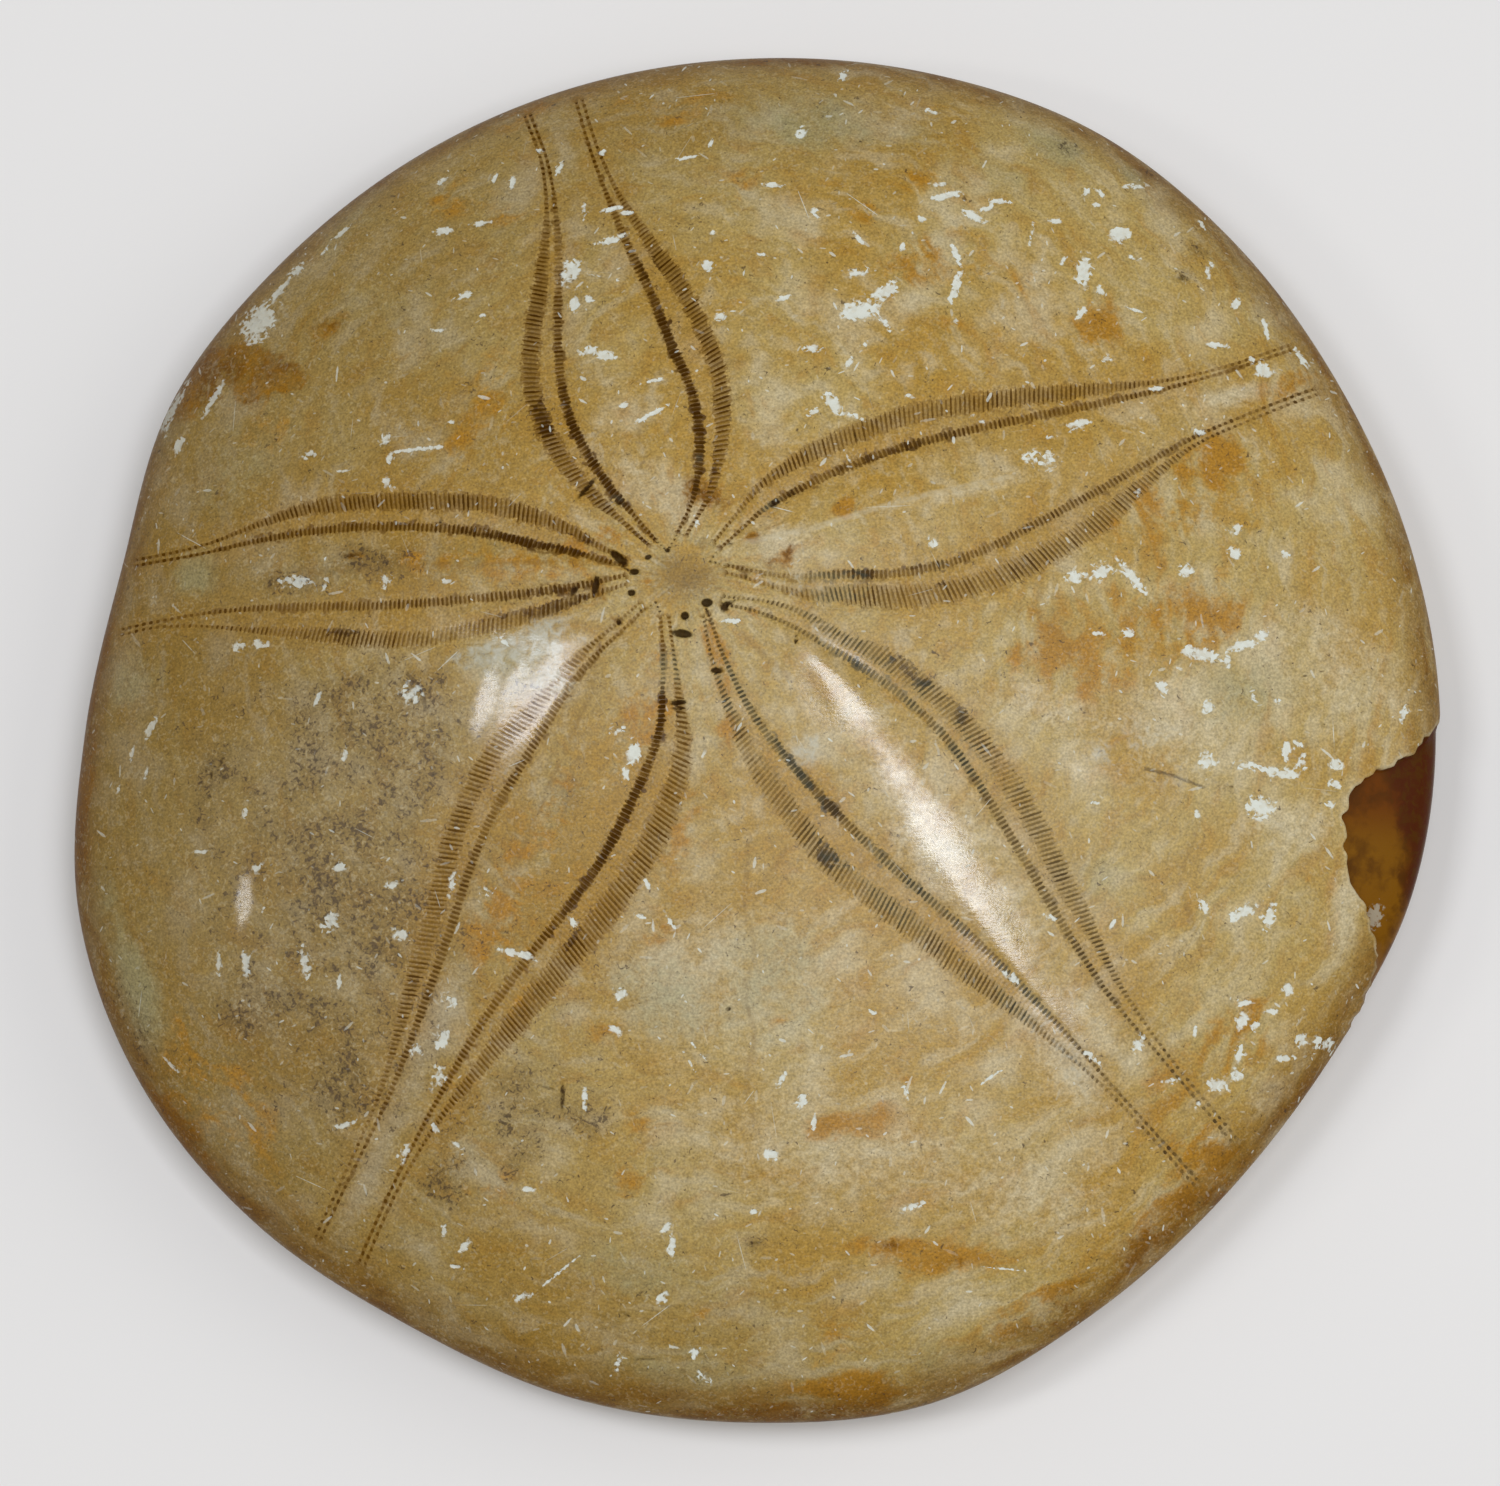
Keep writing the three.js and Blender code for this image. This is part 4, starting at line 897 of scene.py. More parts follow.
loose_flat = np.concatenate(gathered)
loose_ids = skin.add(on_dome(loose_flat))
rim = ring_on_dome(FILL_EDGE)
skin.faces.append(fill((loose_ids, loose_flat), loops, rim))
rings = [rim[0], *(ring_on_dome(fraction)[0] for fraction in (0.991, 0.9955, 0.9985))]
rings.append(skin.add(np.column_stack([girth_flat, np.full(SECTORS, GIRTH_HEIGHT)])))
girth_ring = rings[-1]
for turn in range(1, TURNS + 1):
    base = ring_below(BAND_OUTER + (1 - BAND_OUTER) * math.cos(math.pi / 2 * turn / TURNS))
    rings.append(base[0])
for a, b in zip(rings[:-1], rings[1:]):
    skin.faces.append(np.stack([a, b, np.roll(b, -1), np.roll(a, -1)], 1))
top_faces = sum(len(group) for group in skin.faces)

under_flat = honeycomb(SPACING["underside"], HALF_SPAN)
under_flat = under_flat[from_mouth(under_flat) < BAND_OUTER - 0.012]
under_ids = skin.add(on_underside(under_flat, from_mouth(under_flat)))
skin.faces.append(fill((under_ids, under_flat), [], base)[:, ::-1])

points = np.concatenate(skin.points)
flat = points[:, :2]
on_top = np.arange(len(points)) <= girth_ring[-1]

# Every face of the dome looks up, whichever way round it was laid.
for group in skin.faces:
    a, b, c = (flat[group[:, k]] for k in range(3))
    turn = (b[:, 0] - a[:, 0]) * (c[:, 1] - a[:, 1]) - (b[:, 1] - a[:, 1]) * (c[:, 0] - a[:, 0])
    if on_top[group].all():
        group[turn < 0] = group[turn < 0, ::-1]

# ================================================================ pits, chips, stains, painted shade and sheen, and the missing plate

CHIP_DEPTH = 0.04
FAR = 9.0  # distances from the edge of the missing plate are kept within this
BREAK_LEFT, BREAK_MIDDLE, BREAK_REACH = 37, -12, 24  # the area in which they are worked out
# What the material reads at each point, by name.
looks = {name: np.zeros(len(points)) for name in ("ink", "crack", "seam", "vein")}
looks["chalk"] = np.full(len(points), -1.0)
looks["broken"] = np.full(len(points), -FAR)

# Places on the edge below the girth count as lying outside it, so that no mark of the top shows there twice.
WRAP = 8.0  # mm of skin between the girth and the flat band
outward = (girth_flat - APEX) / lengths(girth_flat - APEX)[:, None]
beyond = np.where(on_top, 0.0, WRAP)
place = flat.copy()
for turn, ring in enumerate(rings[-TURNS:], 1):
    beyond[ring] = WRAP * turn / TURNS
    place[ring] = girth_flat + outward * (WRAP * turn / TURNS)


def near_oval(x, y, length, width, direction, margin):
    """Points of the top about an oval, and how far out in it they lie."""
    reach = max(length, width) / 2 + margin
    near = np.flatnonzero((np.abs(flat[:, 0] - x) < reach) & (np.abs(flat[:, 1] - y) < reach) & on_top)
    return near, oval_distance(flat[near], x, y, length, width, direction)


# Pits are inked darker the deeper they are, and the chalk of a chip stands a little below the skin.
for *oval, depth in PITS + TIP_PITS:
    near, away = near_oval(*oval, 0.4)
    strength = min(1, 0.5 + 3 * depth)
    looks["ink"][near] = np.maximum(looks["ink"][near], strength * (1 - smoothstep(away, 0.5, 1.4)))
    points[near, 2] -= depth * (1 - smoothstep(away, 0.25, 1.05))
for *oval, white in FLECKS:
    near, away = near_oval(*oval, 0.5)
    looks["chalk"][near] = np.maximum(looks["chalk"][near], (1.15 - away) * white)
    points[near, 2] -= CHIP_DEPTH * white * (1 - smoothstep(away, 0.7, 1.1))
for name in STAINS:
    looks[name] = stained(name, place) * (1 - smoothstep(beyond, 3, WRAP))
for kind, line in LINES:
    away = np.abs(line_distance(flat, resampled(line, 1.0)))
    looks[kind] = np.where(on_top, np.maximum(looks[kind], 1 - smoothstep(away, 0.03, 0.3)), 0)

fraction = np.minimum(from_apex(place), 1)
looks["fraction"] = fraction
# Along the outermost margin the stone is painted browner: partly a real brown rim band, partly painted shade
# on the steep edge.
looks["margin"] = smoothstep(fraction, 0.93, 1.0) * (1 - smoothstep(beyond, 1.5, 5))
looks["tint"] = petal_relief(flat)[1] * on_top
looks["under"] = np.where(on_top, 0.0, smoothstep(-points[:, 2], -6.5, -2.0))
near = (place[:, 0] > BREAK_LEFT) & (np.abs(place[:, 1] - BREAK_MIDDLE) < BREAK_REACH)
near = np.flatnonzero(near)
missing = line_distance(place[near], edge_line)
lower_edge = BREAK_DROP + waves(place[near], (DIMPLES, 0.5), (RIPPLES, 0.3)) - beyond[near]
looks["broken"][near] = np.clip(np.minimum(missing, lower_edge), -FAR, FAR)

# ---------------------------------------------------------------- spreading the skin flat, for fine patterns

PROFILE_REACH = 48.0  # mm from the apex to the margin, taken as the same all round
TOP_REACH = 62.0  # mm from the middle of the spread top to its furthest edge, and the same for the underside
UNDER_REACH = 41.0
TOP_CHART = (0.42, 0.415)  # middle and half-width of the chart of the top, and of the underside
UNDER_CHART = (0.83, 0.16)
UNDER_SHEET = np.array([300.0, 0.0])  # keeps the underside's patterns apart from those of the top

profile = np.sin(np.linspace(0, np.pi / 2, 400))
profile_run = np.diff(profile) * PROFILE_REACH
extra = np.hypot(profile_run, np.diff(dome_profile(profile, HEIGHT - GIRTH_HEIGHT))) - profile_run
extra = np.concatenate([[0], np.cumsum(extra)])
heading = place - APEX
away = lengths(heading)
spread = away + np.interp(fraction, profile, extra)
sheet_top = APEX + heading / np.maximum(away, 1e-9)[:, None] * spread[:, None]


def store(layer, kind, column):
    layer.foreach_set(kind, np.asarray(column, np.float32).ravel())


mesh = bpy.data.meshes.new("sand_dollar_stone")
faces = [face for group in skin.faces for face in group.tolist()]
mesh.from_pydata((points * MM).tolist(), [], faces)
mesh.update()
for polygon in mesh.polygons:
    polygon.use_smooth = True

# The bed of the missing plate lies below the skin, less so towards the girth.
normals = np.zeros(3 * len(points), np.float32)
mesh.vertex_normals.foreach_get("vector", normals)
deeper = (BREAK_DEPTH - EDGE_STEP) * smoothstep(points[:, 2], GIRTH_HEIGHT, GIRTH_HEIGHT + 3)
step_down = smoothstep(looks["broken"], -0.03, 0.1) * (EDGE_STEP + deeper)
points -= normals.reshape(-1, 3) * step_down[:, None]
store(mesh.vertices, "co", points * MM)
mesh.update()
values = {name: np.concatenate(columns) for name, columns in skin.values.items()}
for name, column in (values | looks).items():
    store(mesh.attributes.new(name, "FLOAT", "POINT").data, "value", column)

corner = np.array([loop.vertex_index for loop in mesh.loops])
on_chart = [np.full(polygon.loop_total, polygon.index < top_faces) for polygon in mesh.polygons]
on_chart = np.concatenate(on_chart)[:, None]
sheet = np.where(on_chart, sheet_top[corner], flat[corner] + UNDER_SHEET)
sheet = np.column_stack([sheet, np.zeros(len(sheet))])
store(mesh.attributes.new("sheet", "FLOAT_VECTOR", "CORNER").data, "vector", sheet)
chart = np.where(
    on_chart,
    TOP_CHART[0] + TOP_CHART[1] * sheet_top[corner] / TOP_REACH,
    UNDER_CHART[0] + UNDER_CHART[1] * flat[corner] / UNDER_REACH)
store(mesh.uv_layers.new(name="OFBake").data, "uv", chart)

# ================================================================ the stone


def colour(red, green, blue):
    """A colour as painted on a screen, 0 to 255, as the light values Blender works in."""
    channels = np.array([red, green, blue]) / 255
    linear = np.where(channels <= 0.04045, channels / 12.92, ((channels + 0.055) / 1.055) ** 2.4)
    return (*linear.tolist(), 1.0)


TAN = colour(167, 142, 82)
GOLD = colour(160, 122, 42)
CREAM = colour(190, 177, 144)
OCHRE = colour(156, 108, 20)
RUST_AND_RIM_SHADE = colour(98, 60, 6)
GREEN = colour(142, 136, 98)
DULL = colour(112, 90, 51)
SHADE_AND_DARK_TONE = colour(110, 84, 33)
SPECK = colour(66, 50, 34)
CHALK = colour(212, 214, 201)
ROW_TINT = colour(150, 110, 36)
ROW_BROWN = colour(60, 34, 0)
ROW_UMBER = colour(92, 58, 5)
ROW_SLATE = colour(60, 57, 44)
BAND_BROWN = colour(106, 72, 5)
BAND_PALE = colour(133, 95, 25)
BAND_SLATE = colour(138, 120, 76)
SHEEN_AND_CHIP_GREY = colour(176, 172, 152)
INK = colour(40, 22, 4)
AMBER = colour(116, 74, 6)
RED_AMBER = colour(98, 50, 2)
UMBER = colour(74, 40, 2)
DARK_BREAK = colour(72, 29, 3)
SEAM = colour(118, 90, 42)

# Scattered strokes: size of their cells, longest, widest, and at most what share of the cells holds one
STROKES = [(0.95, 0.5, 0.17, 0.4), (2.3, 1.15, 0.26, 0.4), (4.6, 3.2, 0.08, 0.3)]
SHARD = 0.26  # size of the angular crumbs that chips are made of
BUMP_HEIGHT = 0.03
FRAY = 0.25  # size of the fraying of the strokes' outlines
BRUSHING = -50  # direction of the streaks that the polishing left
NOISE_STEP = (31.7, -17.3, 11.9)  # how far one noise lies from the next, so that no two agree
STROKE_STEP = (53.3, 29.1, 0)  # and one set of strokes from the next


class Graph:
    """Short words for building a material's nodes, and the colour of the body, laid coat by coat."""

    def __init__(self, material, body):
        material.use_nodes = True
        self.tree = material.node_tree
        self.tree.nodes.clear()
        self.attributes = {}
        self.body = body
        self.mm = self.scaled(self.node("ShaderNodeTexCoord").outputs["Object"], 1 / MM)
        self.sheet = self.node("ShaderNodeAttribute", attribute_name="sheet").outputs["Vector"]

    def node(self, kind, inputs=(), **settings):
        node = self.tree.nodes.new(kind)
        for name, value in settings.items():
            setattr(node, name, value)
        for name, value in dict(inputs).items():
            self.plug(value, node.inputs[name])
        return node

    def plug(self, value, socket):
        if isinstance(value, bpy.types.NodeSocket):
            self.tree.links.new(value, socket)
        else:
            socket.default_value = value

    def attribute(self, name):
        if name not in self.attributes:
            self.attributes[name] = self.node("ShaderNodeAttribute", attribute_name=name).outputs["Fac"]
        return self.attributes[name]

    def math(self, operation, *values):
        return self.node("ShaderNodeMath", dict(enumerate(values)), operation=operation).outputs[0]

    def chain(self, operation, values):
        """The values taken together one after the other."""
        total = values[0]
        for value in values[1:]:
            total = self.math(operation, total, value)
        return total

    def add(self, *values):
        return self.chain("ADD", values)

    def times(self, *values):
        return self.chain("MULTIPLY", values)

    def greater(self, *values):
        return self.chain("MAXIMUM", values)

    def at_most_one(self, *values):
        return self.math("MINIMUM", 1.0, self.add(*values))

    def line(self, value, slope, start):
        """The value times the slope, plus the start."""
        return self.math("MULTIPLY_ADD", value, slope, start)

    def sway(self, noise, amount):
        """A noise of the given height, moved to lie about 0."""
        return self.line(noise, amount, -amount / 2)

    def absolute(self, value):
        return self.math("ABSOLUTE", value)

    def vector(self, operation, *values):
        return self.node("ShaderNodeVectorMath", dict(enumerate(values)), operation=operation).outputs[0]

    def scaled(self, vector, factor):
        return self.node("ShaderNodeVectorMath", {0: vector, "Scale": factor}, operation="SCALE").outputs[0]

    def ramp(self, value, low, high, start=0.0, end=1.0, **settings):
        """From start to end as the value goes from low to high."""
        inputs = {"Value": value, "From Min": low, "From Max": high, "To Min": start, "To Max": end}
        return self.node("ShaderNodeMapRange", inputs, **settings).outputs["Result"]

    def band(self, value, low, high, start=0.0, end=1.0):
        """A ramp with soft ends."""
        return self.ramp(value, low, high, start, end, interpolation_type="SMOOTHSTEP")

    def noise(self, size, detail=2.0, seed=0, stretch=None, distortion=0.0):
        """Cloudy values about 0.5, with clouds of the given size in mm, stretched as (direction, how far)."""
        where = self.mm
        if stretch:
            turn, longer = stretch
            inputs = {"Vector": where, "Rotation": (0, 0, math.radians(turn)), "Scale": (1 / longer, 1, 1)}
            where = self.node("ShaderNodeMapping", inputs).outputs[0]
        if seed:
            where = self.vector("ADD", where, [seed * step for step in NOISE_STEP])
        return self.noise_at(where, size, detail, Distortion=distortion)

    def noise_at(self, where, size, detail, **inputs):
        inputs = {"Vector": where, "Scale": 1 / size, "Detail": detail, **inputs}
        return self.node("ShaderNodeTexNoise", inputs).outputs["Fac"]

    def cells(self, where, size):
        """Flat cells about scattered points, each with its own colour."""
        inputs = {"Vector": where, "Scale": 1 / size}
        return self.node("ShaderNodeTexVoronoi", inputs, voronoi_dimensions="2D", feature="F1").outputs

    def parts(self, colour):
        return self.node("ShaderNodeSeparateColor", {"Color": colour}).outputs

    def mix(self, share, a, b, blend="MIX"):
        """Between two colours."""
        node = self.node("ShaderNodeMix", data_type="RGBA", blend_type=blend)
        colours = [socket for socket in node.inputs if socket.type == "RGBA"]
        self.plug(share, node.inputs[0])
        self.plug(a, colours[0])
        self.plug(b, colours[1])
        return next(socket for socket in node.outputs if socket.type == "RGBA")

    def blend(self, share, a, b):
        """Between two plain values."""
        return self.node("ShaderNodeMix", {0: share, 2: a, 3: b}, data_type="FLOAT").outputs[0]

    def coat(self, colour, *shares):
        """Lays a colour over the body, as thickly as the shares multiplied."""
        self.body = self.mix(self.times(*shares), self.body, colour)


material = bpy.data.materials.new("polished_fossil_stone")
g = Graph(material, TAN)

# ---- noises that several looks share, from coarse to fine, and wisps that run round the apex
wide = g.noise(12, 2, 1)
clouds = g.noise(4.6, 3, 2)
cloudy = g.noise(2.4, 3, 5)
fine = g.noise(0.6, 3, 6, distortion=0.7)
grain = g.noise(0.17, 1, 7)
fraying = g.sway(g.noise(FRAY, 1, 21), 2.4)
around = g.vector("SUBTRACT", g.sheet, (*APEX, 0))
distance = g.node("ShaderNodeVectorMath", {0: around}, operation="LENGTH").outputs["Value"]
ring = g.node("ShaderNodeCombineXYZ", {"Z": g.add(g.times(distance, 0.8), g.times(clouds, 4))}).outputs[0]
wisps = g.noise_at(g.vector("ADD", g.scaled(g.vector("NORMALIZE", around), 9), ring), 1, 3)
wander = g.add(g.sway(cloudy, 1.7), g.sway(fine, 1.1))
place = g.node("ShaderNodeSeparateXYZ", {"Vector": g.mm}).outputs


def stain(name, low=0.25, high=0.75, roughness=1.0):
    """A named patch with a rough outline: a stain, painted shade, painted sheen."""
    amount = g.attribute(name)
    return g.band(g.add(amount, g.times(wander, g.band(amount, 0, 0.35, 0, roughness))), low, high)


# ---- the body of the stone: clouds of tan, gold and pale stone, the larger stains, and painted shade and sheen
grey = g.times(stain("grey", 0.15, 1.05), g.ramp(wisps, 0.35, 0.6, 0.65, 1.05))
rusty = g.times(stain("brown", 0.15, 0.8), g.ramp(fine, 0.3, 0.65, 0.5, 1))
ochre = g.attribute("ochre")
ochre_edge = g.times(g.add(wander, g.sway(wisps, 2.4)), g.band(ochre, 0, 0.35))
mottled = g.add(g.times(wisps, 0.6), g.times(cloudy, 0.4))
g.coat(GOLD, g.band(wide, 0.42, 0.64, 0, 0.6))
g.coat(CREAM, g.band(clouds, 0.5, 0.72, 0, 0.5))
g.coat(GOLD, g.band(clouds, 0.5, 0.3, 0, 0.5))
g.coat(OCHRE, g.band(wisps, 0.5, 0.72, 0, 0.4))
g.coat(CREAM, g.band(wisps, 0.5, 0.28, 0, 0.4))
g.coat(GOLD, stain("gold"), 0.8)
# pale patches, partly painted sheen
g.coat(CREAM, stain("cream_and_sheen", 0.08, 0.92, 0.6), 0.75)
# painted shade over the left side and the margins, and the darker tone about the apex
g.coat(SHADE_AND_DARK_TONE, g.attribute("painted_shade_and_dark_tone"), 0.72)
g.coat(DULL, grey, 0.55)
g.coat(GREEN, stain("green", 0.12, 0.9, 0.6), 0.6)
g.coat(ROW_TINT, g.attribute("tint"), 0.45)
g.coat(OCHRE, g.band(g.add(ochre, ochre_edge), 0.1, 1.0), 0.85)
g.coat(g.mix(g.band(cloudy, 0.4, 0.65, 0, 0.5), RUST_AND_RIM_SHADE, OCHRE), rusty, 0.9)
# rust-brown along the margin: a real brown band and painted shade on the steep edge
g.coat(RUST_AND_RIM_SHADE, g.attribute("margin"), g.ramp(mottled, 0.38, 0.62, 0.42, 0.84))

# ---- grain and fine lines
specks = g.add(g.noise(0.34, 2, 9, distortion=0.8), g.sway(cloudy, 0.3))
g.coat(SPECK, g.band(specks, g.line(grey, -0.16, 0.67), g.line(grey, -0.13, 0.77), 0, 0.72))
g.coat(CREAM, g.band(specks, 0.44, 0.34), g.line(grey, 0.1, 0.15))
shade = g.add(1, g.times(g.sway(fine, 1.0), g.line(grey, 0.5, 0.45)), g.sway(grain, 1.05))
shade = g.node("ShaderNodeCombineColor", {"Red": shade, "Green": shade, "Blue": shade}).outputs[0]
g.body = g.mix(1.0, g.body, shade, "MULTIPLY")
g.coat(SEAM, g.attribute("seam"), g.ramp(fine, 0.4, 0.65, 0, 0.6))
g.coat(CREAM, g.attribute("vein"), g.ramp(fine, 0.3, 0.6, 0.2, 0.6))
g.coat(INK, g.band(g.attribute("crack"), 0.5, 1.0, 0, 0.6))

# ---- the pores: ticks of the inner rows and slits of the outer rows
number = g.math("FLOOR", g.add(g.attribute("phase"), 0.5))
along = g.absolute(g.math("SUBTRACT", g.attribute("phase"), number))
own = {"W": g.add(number, g.times(g.attribute("zone"), 977))}
own = g.node("ShaderNodeTexWhiteNoise", own, noise_dimensions="1D").outputs["Color"]
chance = g.parts(own)
fade = g.band(g.add(g.times(cloudy, 0.5), g.times(clouds, 0.5)), 0.38, 0.58)
rows = g.attribute("rows")
deep = g.attribute("deep")
dark = stain("dark", 0.2, 0.7)


def pore(row, width, longest, sharpness, luck, faintest):
    """How dark the nearest pore of a row is here, each with its own length and strength."""
    reach = g.math("DIVIDE", g.absolute(g.attribute(row)), g.ramp(luck, 0, 1, 0.75, longest))
    lateral = g.math("DIVIDE", along, width)
    away = g.add(g.times(lateral, lateral), g.math("POWER", reach, sharpness), g.sway(grain, 0.9))
    return g.times(g.band(away, 0.5, 1.35, 1, 0), g.ramp(chance[2], 0, 1, faintest, 1), rows)


tick = pore("tick", g.line(dark, 0.13, 0.29), g.line(dark, 0.3, 1.1), 3.0, chance[0], 0.6)
slit = pore("slit", g.line(dark, 0.08, 0.26), 1.1, 2.2, chance[1], 0.5)
slate = g.at_most_one(g.attribute("slaty"), stain("slate"))
brown = g.at_most_one(g.times(deep, 0.7), g.times(dark, 0.4), g.sway(fade, 0.5))
filling = g.mix(slate, g.mix(brown, ROW_UMBER, ROW_BROWN), ROW_SLATE)
bed = g.mix(slate, g.mix(deep, BAND_PALE, BAND_BROWN), BAND_SLATE)

# Bands of tinted stone under the rows, and stretches where the filling has run together.
roughly = g.add(g.sway(fine, 1.4), g.sway(grain, 0.8))
blots = g.band(g.add(g.noise(0.8, 1, 33), g.band(distance, 3, 16, 0.07, 0)), 0.58, 0.7)
outer_band = g.band(g.add(g.absolute(g.attribute("slit")), roughly), 0.8, 1.15, 1, 0)
inner_band = g.band(g.add(g.absolute(g.attribute("tick")), roughly, g.times(blots, -0.9)), 0.5, 1.25, 1, 0)
kept = g.line(stain("worn", 0.15, 0.8), -0.7, 1.0)
uneven = g.ramp(cloudy, 0.3, 0.7, 0.7, 1.2)
together = g.times(dark, g.ramp(fine, 0.35, 0.6, 0.3, 0.85))
together = g.greater(together, g.times(blots, g.line(dark, 0.45, 0.35)))
smeared = g.times(g.band(dark, 0.5, 0.95), g.ramp(fine, 0.35, 0.6, 0.25, 0.85))
strength = g.times(kept, g.at_most_one(g.times(deep, 0.3), g.line(fade, 0.4, 0.56)))
marks = g.times(g.greater(tick, slit), strength)
g.coat(bed, outer_band, rows, kept, g.line(deep, 0.4, 0.26), uneven)
g.coat(bed, inner_band, rows, kept, g.line(deep, 0.3, 0.48), uneven)
g.coat(filling, inner_band, rows, kept, together)
g.coat(filling, outer_band, rows, kept, smeared)
g.coat(filling, marks)
# painted sheen: pale patches where the polish catches soft light
g.coat(SHEEN_AND_CHIP_GREY, stain("painted_sheen", 0.15, 0.9), g.ramp(fine, 0.3, 0.65, 0.2, 0.75))

# ---- pits and chalky chips


def strokes(seed, density, cell, longest, widest, share):
    """Scattered short strokes, one at most in each cell: how bright the stroke is here."""
    where = g.vector("ADD", g.sheet, [seed * step for step in STROKE_STEP])
    cells = g.cells(where, cell)
    turn, size, luck = g.parts(cells["Color"])
    local = {"Vector": g.vector("SUBTRACT", where, cells["Position"]), "Angle": g.times(turn, math.tau)}
    local = g.node("ShaderNodeVectorRotate", local, rotation_type="Z_AXIS").outputs[0]
    local = g.node("ShaderNodeSeparateXYZ", {"Vector": local}).outputs
    grow = g.ramp(g.times(size, size), 0, 1, 0.4, 1)
    across = g.math("DIVIDE", local["Y"], g.times(g.ramp(luck, 0, share, 0.5, 1), widest / 2))
    along = g.math("DIVIDE", local["X"], g.times(grow, longest / 2))
    away = g.add(g.times(along, along), g.times(across, across), fraying)
    chosen = g.band(luck, g.times(density, share), g.line(density, share, 0.02), 1, 0)
    bright = g.math("FRACT", g.times(size, 7.3))
    bright = g.ramp(g.times(bright, bright), 0, 1, 0.1, 0.8)
    return g.times(g.band(away, 0.7, 1.5, 1, 0), chosen, bright)


ink = g.attribute("ink")
g.coat(INK, g.band(g.add(ink, g.sway(grain, 0.6), g.sway(fine, 0.7)), 0.25, 0.8, 0, 0.92))
patchy = g.ramp(wide, 0.36, 0.6, 0.25, 0.85)
shard = g.parts(g.cells(g.sheet, SHARD)["Color"])[0]
named = g.band(g.add(g.attribute("chalk"), g.line(shard, 0.75, -0.34), g.sway(fine, 1.8)), -0.05, 0.4)
scattered = g.greater(*(strokes(seed, patchy, *sizes) for seed, sizes in enumerate(STROKES, 1)))
above = g.band(g.attribute("under"), 0.0, 0.6, 1, 0.25)
chalk = g.greater(named, g.times(scattered, above))
g.coat(CHALK, chalk, g.ramp(shard, 0, 1, 0.72, 0.95), g.ramp(place["X"], -42, -8, 0.6, 1))

# ---- the bed of the missing plate: amber, with a dark red-brown outer part
broken = g.attribute("broken")
gap = g.band(broken, -0.02, 0.1)
amber = g.mix(g.band(place["Y"], -9.5, -5.5), AMBER, RED_AMBER)
blotchy = g.add(g.times(fine, 0.4), g.times(cloudy, 0.6), g.sway(clouds, 1.6))
amber = g.mix(g.band(blotchy, 0.4, 0.72, 0, 0.75), amber, UMBER)
outward = g.add(place["X"], g.times(place["Y"], 0.12), g.sway(clouds, 3.2), g.sway(fine, 1.4))
outer_part = g.mix(g.band(fine, 0.4, 0.65), DARK_BREAK, UMBER)
floor_of_gap = g.mix(g.band(outward, 43.0, 44.6), amber, outer_part)
# the same pale grey serves for a chip of chalk in the bed
floor_of_gap = g.mix(g.times(named, 0.55), floor_of_gap, SHEEN_AND_CHIP_GREY)
# A pale line painted along the top of the broken edge, as the highlight that edge catches.
painted_edge_highlight = g.times(g.band(broken, -0.28, -0.12), g.band(broken, -0.02, 0.04, 1, 0))
g.coat(CREAM, painted_edge_highlight, g.ramp(cloudy, 0.4, 0.65, 0, 0.55))
g.coat(floor_of_gap, gap, g.band(g.attribute("fraction"), 0.997, 1.0, 1, 0.85))

# ---- polish and the small unevenness of the surface
streaks = g.noise(0.5, 2, 19, stretch=(BRUSHING, 4))
brushed = g.noise(0.14, 1, 18, stretch=(BRUSHING, 5))
polish = g.band(g.add(g.attribute("polish"), g.sway(cloudy, 0.35), g.sway(fine, 0.4)), 0.1, 0.7)
polish = g.times(polish, g.ramp(streaks, 0.3, 0.6, 0.65, 1))
pitted = g.greater(g.times(marks, g.line(polish, -0.7, 1.0)), ink)
gloss = g.blend(polish, g.line(fine, 0.16, 0.34), g.ramp(streaks, 0.35, 0.65, 0.08, 0.2))
for share, roughness in ((g.times(chalk, 0.8), 0.8), (pitted, 0.5), (gap, 0.3), (g.attribute("under"), 0.55)):
    gloss = g.blend(share, gloss, roughness)
shine = g.blend(g.at_most_one(g.times(pitted, 1.4)), g.blend(polish, 0.22, 0.57), 0.02)
shine = g.blend(g.greater(g.times(g.attribute("margin"), 0.9), g.times(rusty, 0.8)), shine, 0.04)
shine = g.blend(gap, shine, 0.06)
height = g.add(g.times(fine, 0.35), g.times(grain, 0.3), g.times(named, -0.7), g.times(brushed, 0.3))
bump = {"Height": height, "Strength": g.line(polish, -0.45, 1.0), "Distance": BUMP_HEIGHT * MM}
surface = g.node("ShaderNodeBsdfPrincipled", {
    "Base Color": g.body, "Roughness": gloss, "Normal": g.node("ShaderNodeBump", bump).outputs["Normal"],
    "IOR": 1.5, "Specular IOR Level": shine,
})
g.node("ShaderNodeOutputMaterial", {"Surface": surface.outputs[0]})
mesh.materials.append(material)


def placed(name, data):
    """A new object in the scene."""
    made = bpy.data.objects.new(name, data)
    bpy.context.scene.collection.objects.link(made)
    return made


stone = placed("sand_dollar_stone", mesh)
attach(stone, "root")
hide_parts("sand_dollar")

# ================================================================ floor, light and camera

FLOOR_HALF = 3.0  # metres, as are the sizes and distances of the lamps and the camera's distance
FLOOR_COLOUR = (0.76, 0.73, 0.685, 1)
FLOOR_ROUGHNESS = 0.9
SKY_STRENGTH = 0.25
LAMP_DISTANCE = 0.8
COOL = (0.95, 1.0, 1.1)
WHITE = (1, 1, 1)


def facing(away, long_way):
    """The turn that points a thing's back along away and its X side as near to long_way as can be."""
    high_way = away.cross(long_way).normalized()
    return Matrix((high_way.cross(away), high_way, away)).transposed().to_euler()


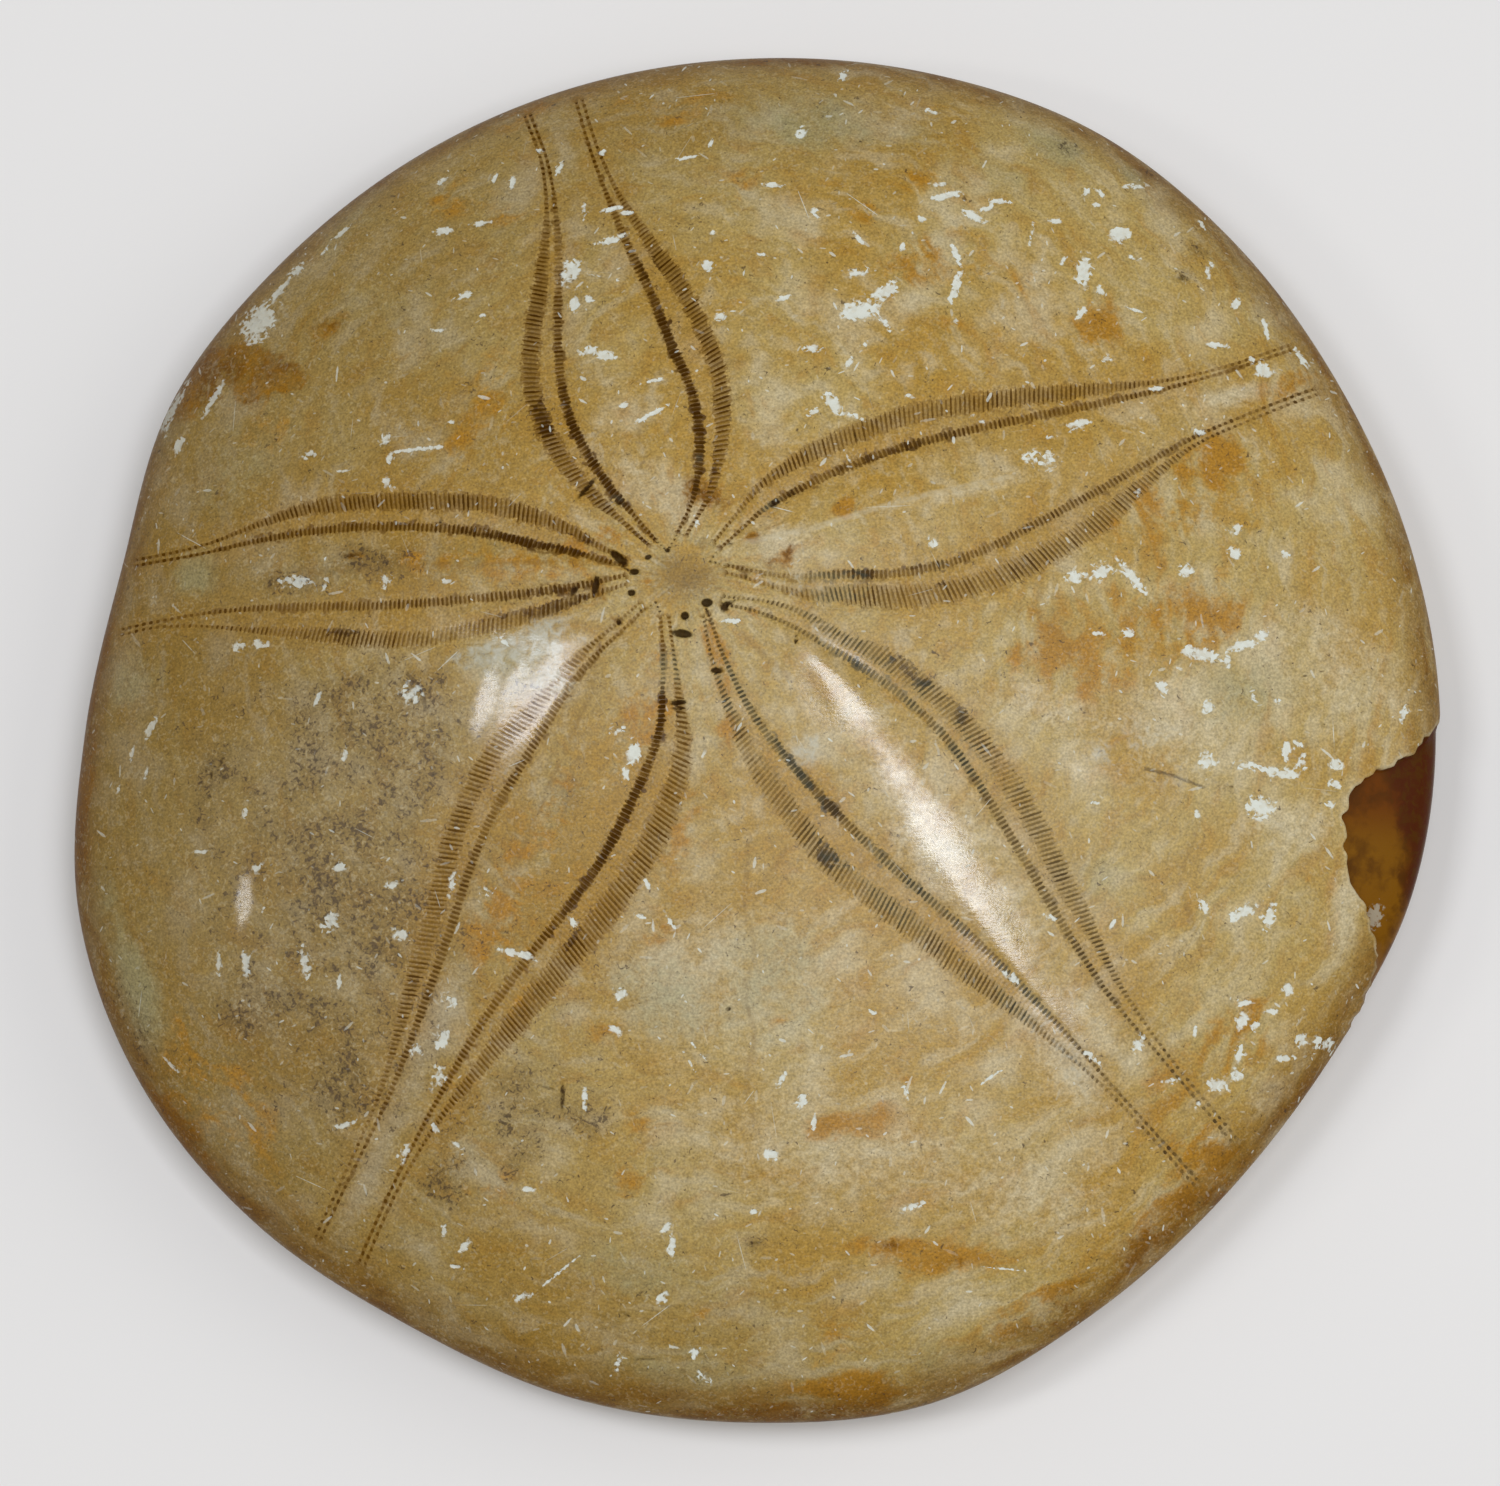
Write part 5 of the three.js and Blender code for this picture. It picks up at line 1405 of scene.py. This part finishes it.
floor_mesh = bpy.data.meshes.new("floor")
corners = [(x * FLOOR_HALF, y * FLOOR_HALF, 0) for x, y in ((-1, -1), (1, -1), (1, 1), (-1, 1))]
floor_mesh.from_pydata(corners, [], [(0, 1, 2, 3)])
floor = placed("floor", floor_mesh)
paint = bpy.data.materials.new("floor_paint")
paint.use_nodes = True
coat = paint.node_tree.nodes["Principled BSDF"].inputs
coat["Base Color"].default_value = FLOOR_COLOUR
coat["Roughness"].default_value = FLOOR_ROUGHNESS
floor_mesh.materials.append(paint)

world = bpy.data.worlds.new("studio")
bpy.context.scene.world = world
world.use_nodes = True
sky = world.node_tree.nodes["Background"].inputs
sky["Color"].default_value = (*WHITE, 1)
sky["Strength"].default_value = SKY_STRENGTH


def soft_light(name, direction, distance, size, power, turn=0.0, tint=WHITE):
    """A flat panel facing the stone, turned about the line to it by the given degrees."""
    data = bpy.data.lights.new(name, "AREA")
    data.shape = "RECTANGLE"
    data.size, data.size_y = size
    data.energy = power
    data.color = tint
    lamp = placed(name, data)
    away = Vector(direction).normalized()
    lamp.location = away * distance
    long_way = Matrix.Rotation(math.radians(turn), 3, "Z") @ Vector((1, 0, 0))
    lamp.rotation_euler = facing(away, long_way)


soft_light("key", (0.190, -0.063, 0.975), LAMP_DISTANCE, (0.35, 0.24), 3.1, turn=-47.6, tint=COOL)
soft_light("left", (-0.30, 0.045, 0.955), LAMP_DISTANCE, (0.19, 0.18), 1.3, tint=COOL)
soft_light("far_left", (-0.64, -0.11, 0.76), LAMP_DISTANCE, (0.06, 0.16), 0.4, turn=90)
soft_light("window", (0.8, 0.1, 0.55), 1.4, (1.1, 1.1), 4.3)

TILT = math.radians(9)  # how far the camera leans from looking straight down
HEADING = Vector((0.40, -0.92, 0)).normalized()  # and towards which side
AIM = Vector((-0.05, -1.1, 8)) * MM
DISTANCE = 0.43
FOCAL_LENGTH = 147.9  # mm, on a sensor of this width
SENSOR_WIDTH = 36
camera_data = bpy.data.cameras.new("camera")
camera_data.lens = FOCAL_LENGTH
camera_data.sensor_width = SENSOR_WIDTH
camera = placed("camera", camera_data)
camera.location = AIM + DISTANCE * (HEADING * math.sin(TILT) + Vector((0, 0, math.cos(TILT))))
back = (camera.location - AIM).normalized()
camera.rotation_euler = facing(back, Vector((0, 1, 0)).cross(back))
bpy.context.scene.camera = camera
bpy.context.scene.view_settings.view_transform = "Standard"
